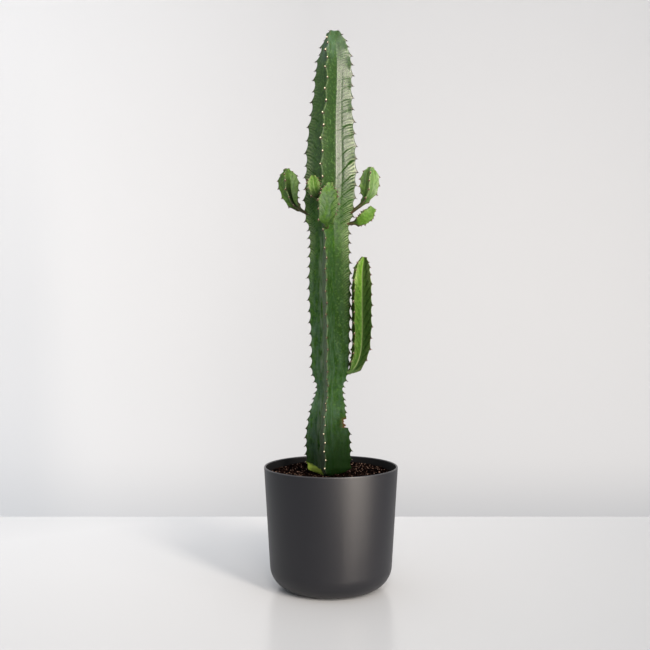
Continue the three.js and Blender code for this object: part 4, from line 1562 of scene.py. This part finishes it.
def spine_tree():
    """Puts a horny shield with two pairs of spines, and a pale leaf scar, on every tooth."""
    tree, given = new_tree(
        "areoles and spines",
        {
            "Skin object": "NodeSocketObject",
            "Spine length": "NodeSocketFloat",
            "Seed": "NodeSocketInt",
            "Horn": "NodeSocketMaterial",
            "Shield": "NodeSocketMaterial",
            "Leaf scar": "NodeSocketMaterial",
        },
    )
    want = given.outputs
    skin = node(tree, "GeometryNodeObjectInfo", {"Object": want["Skin object"]}).outputs["Geometry"]
    nearest = node(tree, "GeometryNodeProximity", {"Geometry": skin}, target_element="FACES")
    seated = node(
        tree,
        "GeometryNodeSetPosition",
        {"Geometry": want["Geometry"], "Position": nearest.outputs["Position"]},
    )
    way = {
        label: node(tree, ATTRIBUTE, {"Name": label}, data_type="FLOAT_VECTOR")
        for label in ("out", "along")
    }
    facing = node(
        tree,
        "FunctionNodeAxesToRotation",
        {"Primary Axis": way["out"], "Secondary Axis": way["along"]},
        primary_axis="Z",
        secondary_axis="X",
    )
    stray = node(
        tree,
        "FunctionNodeRandomValue",
        {"Min": (-0.12, -0.16, -0.12), "Max": (0.12, 0.16, 0.12), "Seed": want["Seed"]},
        data_type="FLOAT_VECTOR",
    )
    turned = node(
        tree,
        "FunctionNodeRotateRotation",
        {
            "Rotation": facing,
            "Rotate By": node(tree, "FunctionNodeEulerToRotation", {"Euler": stray}),
        },
        rotation_space="LOCAL",
    )
    grown = node(tree, ATTRIBUTE, {"Name": "size"}, data_type="FLOAT")
    own = node(
        tree,
        "FunctionNodeRandomValue",
        {"Min": 0.75, "Max": 1.15, "Seed": want["Seed"]},
        data_type="FLOAT",
    )
    size = node(tree, MATH, {0: grown, 1: own}, operation="MULTIPLY")

    # In its own frame an areole looks along +Z, with the tip of the stem at +X.
    parts = []
    # Each spine's length, as a share of the longest, its radius, and how it spreads and droops. It
    # starts inside the shield, on the side that it spreads to.
    spines = (
        (1.0, 0.5 * MM, 0.55, 0.4),
        (1.0, 0.5 * MM, -0.55, 0.4),
        (0.3, 0.28 * MM, 1.05, -0.55),
        (0.3, 0.28 * MM, -1.05, -0.55),
    )
    for part_length, radius, spread, droop in spines:
        depth = node(tree, MATH, {0: want["Spine length"], 1: part_length}, operation="MULTIPLY")
        cone = node(
            tree,
            "GeometryNodeMeshCone",
            {
                "Vertices": 5,
                "Side Segments": 2,
                "Radius Top": 0.03 * MM,
                "Radius Bottom": radius,
                "Depth": depth,
            },
        )
        leaning = node(
            tree,
            "GeometryNodeTransform",
            {
                "Geometry": cone.outputs["Mesh"],
                "Translation": (-0.5 * MM, 0.35 * MM * math.copysign(1, spread), -0.5 * MM),
                "Rotation": (-spread, -droop, 0.0),
            },
        )
        parts.append(
            node(tree, "GeometryNodeSetMaterial", {"Geometry": leaning, "Material": want["Horn"]})
        )
    # Each pad's place and its half sizes.
    pads = {
        "Shield": ((-0.7 * MM, 0.0, -0.1 * MM), (1.3 * MM, 0.95 * MM, 0.5 * MM)),
        "Leaf scar": ((1.0 * MM, 0.0, 0.1 * MM), (1.0 * MM, 0.95 * MM, 0.8 * MM)),
    }
    for kind, (offset, scale) in pads.items():
        ball = node(tree, "GeometryNodeMeshUVSphere", {"Segments": 8, "Rings": 5, "Radius": 1.0})
        pad = node(
            tree,
            "GeometryNodeTransform",
            {"Geometry": ball.outputs["Mesh"], "Translation": offset, "Scale": scale},
        )
        parts.append(
            node(tree, "GeometryNodeSetMaterial", {"Geometry": pad, "Material": want[kind]})
        )
    bead = node(tree, ATTRIBUTE, {"Name": "bead"}, data_type="FLOAT")
    bead_size = node(tree, MATH, {0: size, 1: bead}, operation="MULTIPLY")
    horny = tree.nodes.new("GeometryNodeJoinGeometry")
    for part in parts[:-1]:
        tree.links.new(part.outputs[0], horny.inputs[0])
    both = tree.nodes.new("GeometryNodeJoinGeometry")
    for form, scale in ((horny, size), (parts[-1], bead_size)):
        placed = node(
            tree,
            "GeometryNodeInstanceOnPoints",
            {"Points": seated, "Instance": form, "Rotation": turned, "Scale": scale},
        )
        tree.links.new(placed.outputs[0], both.inputs[0])
    real = node(tree, "GeometryNodeRealizeInstances", {"Geometry": both})
    smooth = node(tree, "GeometryNodeSetShadeSmooth", {"Geometry": real})
    node(tree, "NodeGroupOutput", {"Geometry": smooth})
    return tree


# Seeds of the spines' random turns and sizes: the main stem's, and the first arm's.
MAIN_SEED = 3
ARM_SEED = 11


def make_spines(name, stem, settings, skin, tree, materials, seed):
    """The areoles and spines of one stem, seated on its skin."""
    return grow(
        name,
        tooth_points(name + "_points", stem, settings),
        tree,
        {
            "Skin object": skin,
            "Spine length": settings.spine_length,
            "Seed": seed,
            "Horn": materials[0],
            "Shield": materials[1],
            "Leaf scar": materials[2],
        },
    )


def growth_materials(kind, horn_light, horn_dark):
    """Materials of the spines, of the shields that bear them and of the leaf scars."""
    scars, tree, shader = new_material(kind + " leaf scar cork", **{"Roughness": 0.8})
    pale = node(tree, "ShaderNodeAttribute", attribute_name="pale").outputs["Fac"]
    tone = node(
        tree,
        "ShaderNodeMix",
        {"Factor": pale, "A": linear(0x7A5F4C), "B": linear(0xDDD3B6)},
        data_type="RGBA",
    )
    link(tree, tone, shader, "Base Color")
    return (
        plain_growth(kind + " spine horn", horn_light, horn_dark, 0.5, 1.2 * MM),
        plain_growth(kind + " shield horn", 0x4A3226, 0x231713, 0.7, 0.8 * MM),
        scars,
    )


class EUPHORBIA_OT_main_stem(Operator):
    """Grow the tall main stem, with its winged skin and its spines"""

    bl_idname = "euphorbia.main_stem"
    bl_label = "Main stem"

    def execute(self, context):
        settings = context.scene.euphorbia_stem
        stem = Stem(MAIN_STEM)
        section = section_outline(MAIN_WINGS)
        skin = make_skin(
            "main_stem_skin",
            stem,
            settings,
            waxy_skin("waxed stem cuticle", settings),
            section,
            winged_tree(),
        )
        finish_piece(skin, "stem", "main_stem")
        spines = make_spines(
            "main_stem_spines",
            stem,
            settings,
            skin,
            spine_tree(),
            growth_materials("stem", 0x3C3129, 0x191412),
            MAIN_SEED,
        )
        finish_piece(spines, "stem")
        bpy.data.objects.remove(section)
        return {"FINISHED"}


class EUPHORBIA_OT_arms(Operator):
    """Grow the six arms, with their winged skins and their spines"""

    bl_idname = "euphorbia.arms"
    bl_label = "Arms"

    def execute(self, context):
        settings = context.scene.euphorbia_arm
        section = section_outline(ARM_WINGS)
        skin_tree, areole_tree = winged_tree(), spine_tree()
        material = waxy_skin("waxed arm cuticle", settings)
        growths = growth_materials("arm", 0x8E6450, 0x4A2C22)
        for number, (name, plan) in enumerate(ARMS.items()):
            stem = Stem(plan)
            skin = make_skin(name + "_skin", stem, settings, material, section, skin_tree)
            finish_piece(skin, "arm", name)
            seed = ARM_SEED + number
            spines = make_spines(name + "_spines", stem, settings, skin, areole_tree, growths, seed)
            finish_piece(spines, "arm")
        bpy.data.objects.remove(section)
        return {"FINISHED"}


# ------------------------------------------------------------------ stage


def flat_panel(name, corners, material):
    """A flat rectangle of the stage."""
    mesh = bpy.data.meshes.new(name)
    mesh.from_pydata(corners, [], [(0, 1, 2, 3)])
    mesh.materials.append(material)
    panel = put(name, mesh)
    return panel


def painted_board(name, light, shade, far, near, roughness):
    """Paint on board, with painted shade: its tone falls off from one point of the stage to
    another, as the light would.
    """
    material, tree, shader = new_material(name, **{"Roughness": roughness, "IOR": 1.45})
    place = node(tree, "ShaderNodeTexCoord").outputs["Object"]
    way = np.array(near) - np.array(far)
    from_far = node(tree, VECTOR_MATH, {0: place, 1: far}, operation="SUBTRACT")
    along = node(
        tree, VECTOR_MATH, {0: from_far, 1: tuple(way / way.dot(way))}, operation="DOT_PRODUCT"
    )
    fall = node(tree, "ShaderNodeMapRange", {"Value": along.outputs["Value"]})
    tone = node(tree, "ShaderNodeMix", {"Factor": fall, "A": light, "B": shade}, data_type="RGBA")
    link(tree, tone, shader, "Base Color")
    return material


def one_sided(material):
    """Lets the wall be looked through from behind, so that it hides nothing of the back."""
    tree = material.node_tree
    output = next(one for one in tree.nodes if one.type == "OUTPUT_MATERIAL")
    shader = next(one for one in tree.nodes if one.type == "BSDF_PRINCIPLED")
    behind = node(tree, "ShaderNodeNewGeometry").outputs["Backfacing"]
    clear = node(tree, "ShaderNodeBsdfTransparent")
    mixed = node(tree, "ShaderNodeMixShader", {0: behind, 1: shader, 2: clear})
    tree.links.new(mixed.outputs[0], output.inputs["Surface"])


def soft_box(name, power, tint, size, azimuth, elevation, distance, target):
    """A soft box that looks at the target from an azimuth right of the camera."""
    data = bpy.data.lights.new(name, "AREA")
    data.shape = "RECTANGLE"
    data.size, data.size_y = size
    data.energy = power
    data.color = tint[:3]
    lamp = bpy.data.objects.new(name, data)
    bpy.context.scene.collection.objects.link(lamp)
    turn, rise = math.radians(azimuth), math.radians(elevation)
    back = np.array(
        [math.sin(turn) * math.cos(rise), -math.cos(turn) * math.cos(rise), math.sin(rise)]
    )
    lamp.location = np.array(target) + back * distance
    lamp.rotation_euler = (math.pi / 2 - rise, 0, turn)
    return lamp


SENSOR_WIDTH = 36  # in millimetres


class EUPHORBIA_OT_stage(Operator):
    """Set up the table, the wall behind, the lights and the camera"""

    bl_idname = "euphorbia.stage"
    bl_label = "Stage"

    def execute(self, context):
        scene = context.scene
        stage = scene.euphorbia_stage
        far = 4.0  # how far the table and the wall go on to each side
        edge = stage.floor_depth
        # Painted shade: the table's tone falls from its far left to its near right, and the wall's
        # to the right.
        lacquer = painted_board(
            "glossy white lacquer",
            stage.floor,
            stage.floor_shade,
            (-0.4, 0.32, 0),
            (0.15, -0.45, 0),
            0.24,
        )
        flat_panel(
            "table", [(-far, -far, 0), (far, -far, 0), (far, edge, 0), (-far, edge, 0)], lacquer
        )
        back = stage.wall_distance
        emulsion = painted_board(
            "white wall emulsion",
            stage.wall,
            stage.wall_shade,
            (-1, back, 0),
            (-0.05, back, 0),
            0.9,
        )
        corners = [(-far, back, -far), (far, back, -far), (far, back, far), (-far, back, far)]
        flat_panel("wall", corners, emulsion)
        one_sided(emulsion)
        tint = stage.lamp_colour
        # Each has a power, a tint, a size, an azimuth, an elevation, a distance and a target.
        soft_box("front box", stage.front_power, tint, (0.32, 0.32), 4, 14, 1.05, (0, 0, 0.6))
        soft_box("key strip", stage.key_power, tint, (0.27, 1.1), 33, 22, 1.8, (0, 0, 0.1))
        soft_box("low strip", stage.low_power, tint, (1.1, 0.35), 47, 6, 1.8, (0, 0, 0.1))
        soft_box("overhead", stage.top_power, stage.fill_colour, (3, 3), 0, 90, 2.6, (0, 0, 0))
        world = bpy.data.worlds.new("room")
        scene.world = world
        world.use_nodes = True
        room = world.node_tree.nodes["Background"].inputs
        room["Color"].default_value = stage.fill_colour
        room["Strength"].default_value = stage.fill
        camera = bpy.data.objects.new("camera", bpy.data.cameras.new("camera"))
        scene.collection.objects.link(camera)
        camera.location = (-stage.camera_side, -stage.camera_distance, stage.camera_height)
        camera.rotation_euler = (math.pi / 2 - stage.camera_tilt, 0, 0)
        camera.data.lens = stage.focal_length
        camera.data.sensor_width = SENSOR_WIDTH
        scene.camera = camera
        scene.view_settings.view_transform = "Standard"
        return {"FINISHED"}


# ------------------------------------------------------------------ add-on


class EUPHORBIA_PT_panel(Panel):
    """Lists the plant's pieces and their settings."""

    bl_label = "Potted euphorbia"
    bl_idname = "EUPHORBIA_PT_panel"
    bl_space_type = "VIEW_3D"
    bl_region_type = "UI"
    bl_category = "Euphorbia"

    def draw(self, context):
        for operator, (name, group) in zip(OPERATORS, SETTINGS.items()):
            box = self.layout.box()
            box.operator(operator.bl_idname)
            settings = getattr(context.scene, name)
            for label in group.__annotations__:
                box.prop(settings, label)


OPERATORS = (
    EUPHORBIA_OT_stage,
    EUPHORBIA_OT_pot,
    EUPHORBIA_OT_soil,
    EUPHORBIA_OT_main_stem,
    EUPHORBIA_OT_arms,
)
SETTINGS = {
    "euphorbia_stage": StageSettings,
    "euphorbia_pot": PotSettings,
    "euphorbia_soil": SoilSettings,
    "euphorbia_stem": StemSettings,
    "euphorbia_arm": ArmSettings,
}


def register():
    for kind in (*SETTINGS.values(), *OPERATORS, EUPHORBIA_PT_panel):
        bpy.utils.register_class(kind)
    for name, group in SETTINGS.items():
        setattr(bpy.types.Scene, name, PointerProperty(type=group))


def unregister():
    for name in SETTINGS:
        delattr(bpy.types.Scene, name)
    for kind in reversed((*SETTINGS.values(), *OPERATORS, EUPHORBIA_PT_panel)):
        bpy.utils.unregister_class(kind)


def main():
    """Builds everything."""
    register()
    bpy.ops.euphorbia.stage()
    bpy.ops.euphorbia.pot()
    bpy.ops.euphorbia.soil()
    bpy.ops.euphorbia.main_stem()
    bpy.ops.euphorbia.arms()


if __name__ == "__main__":
    main()
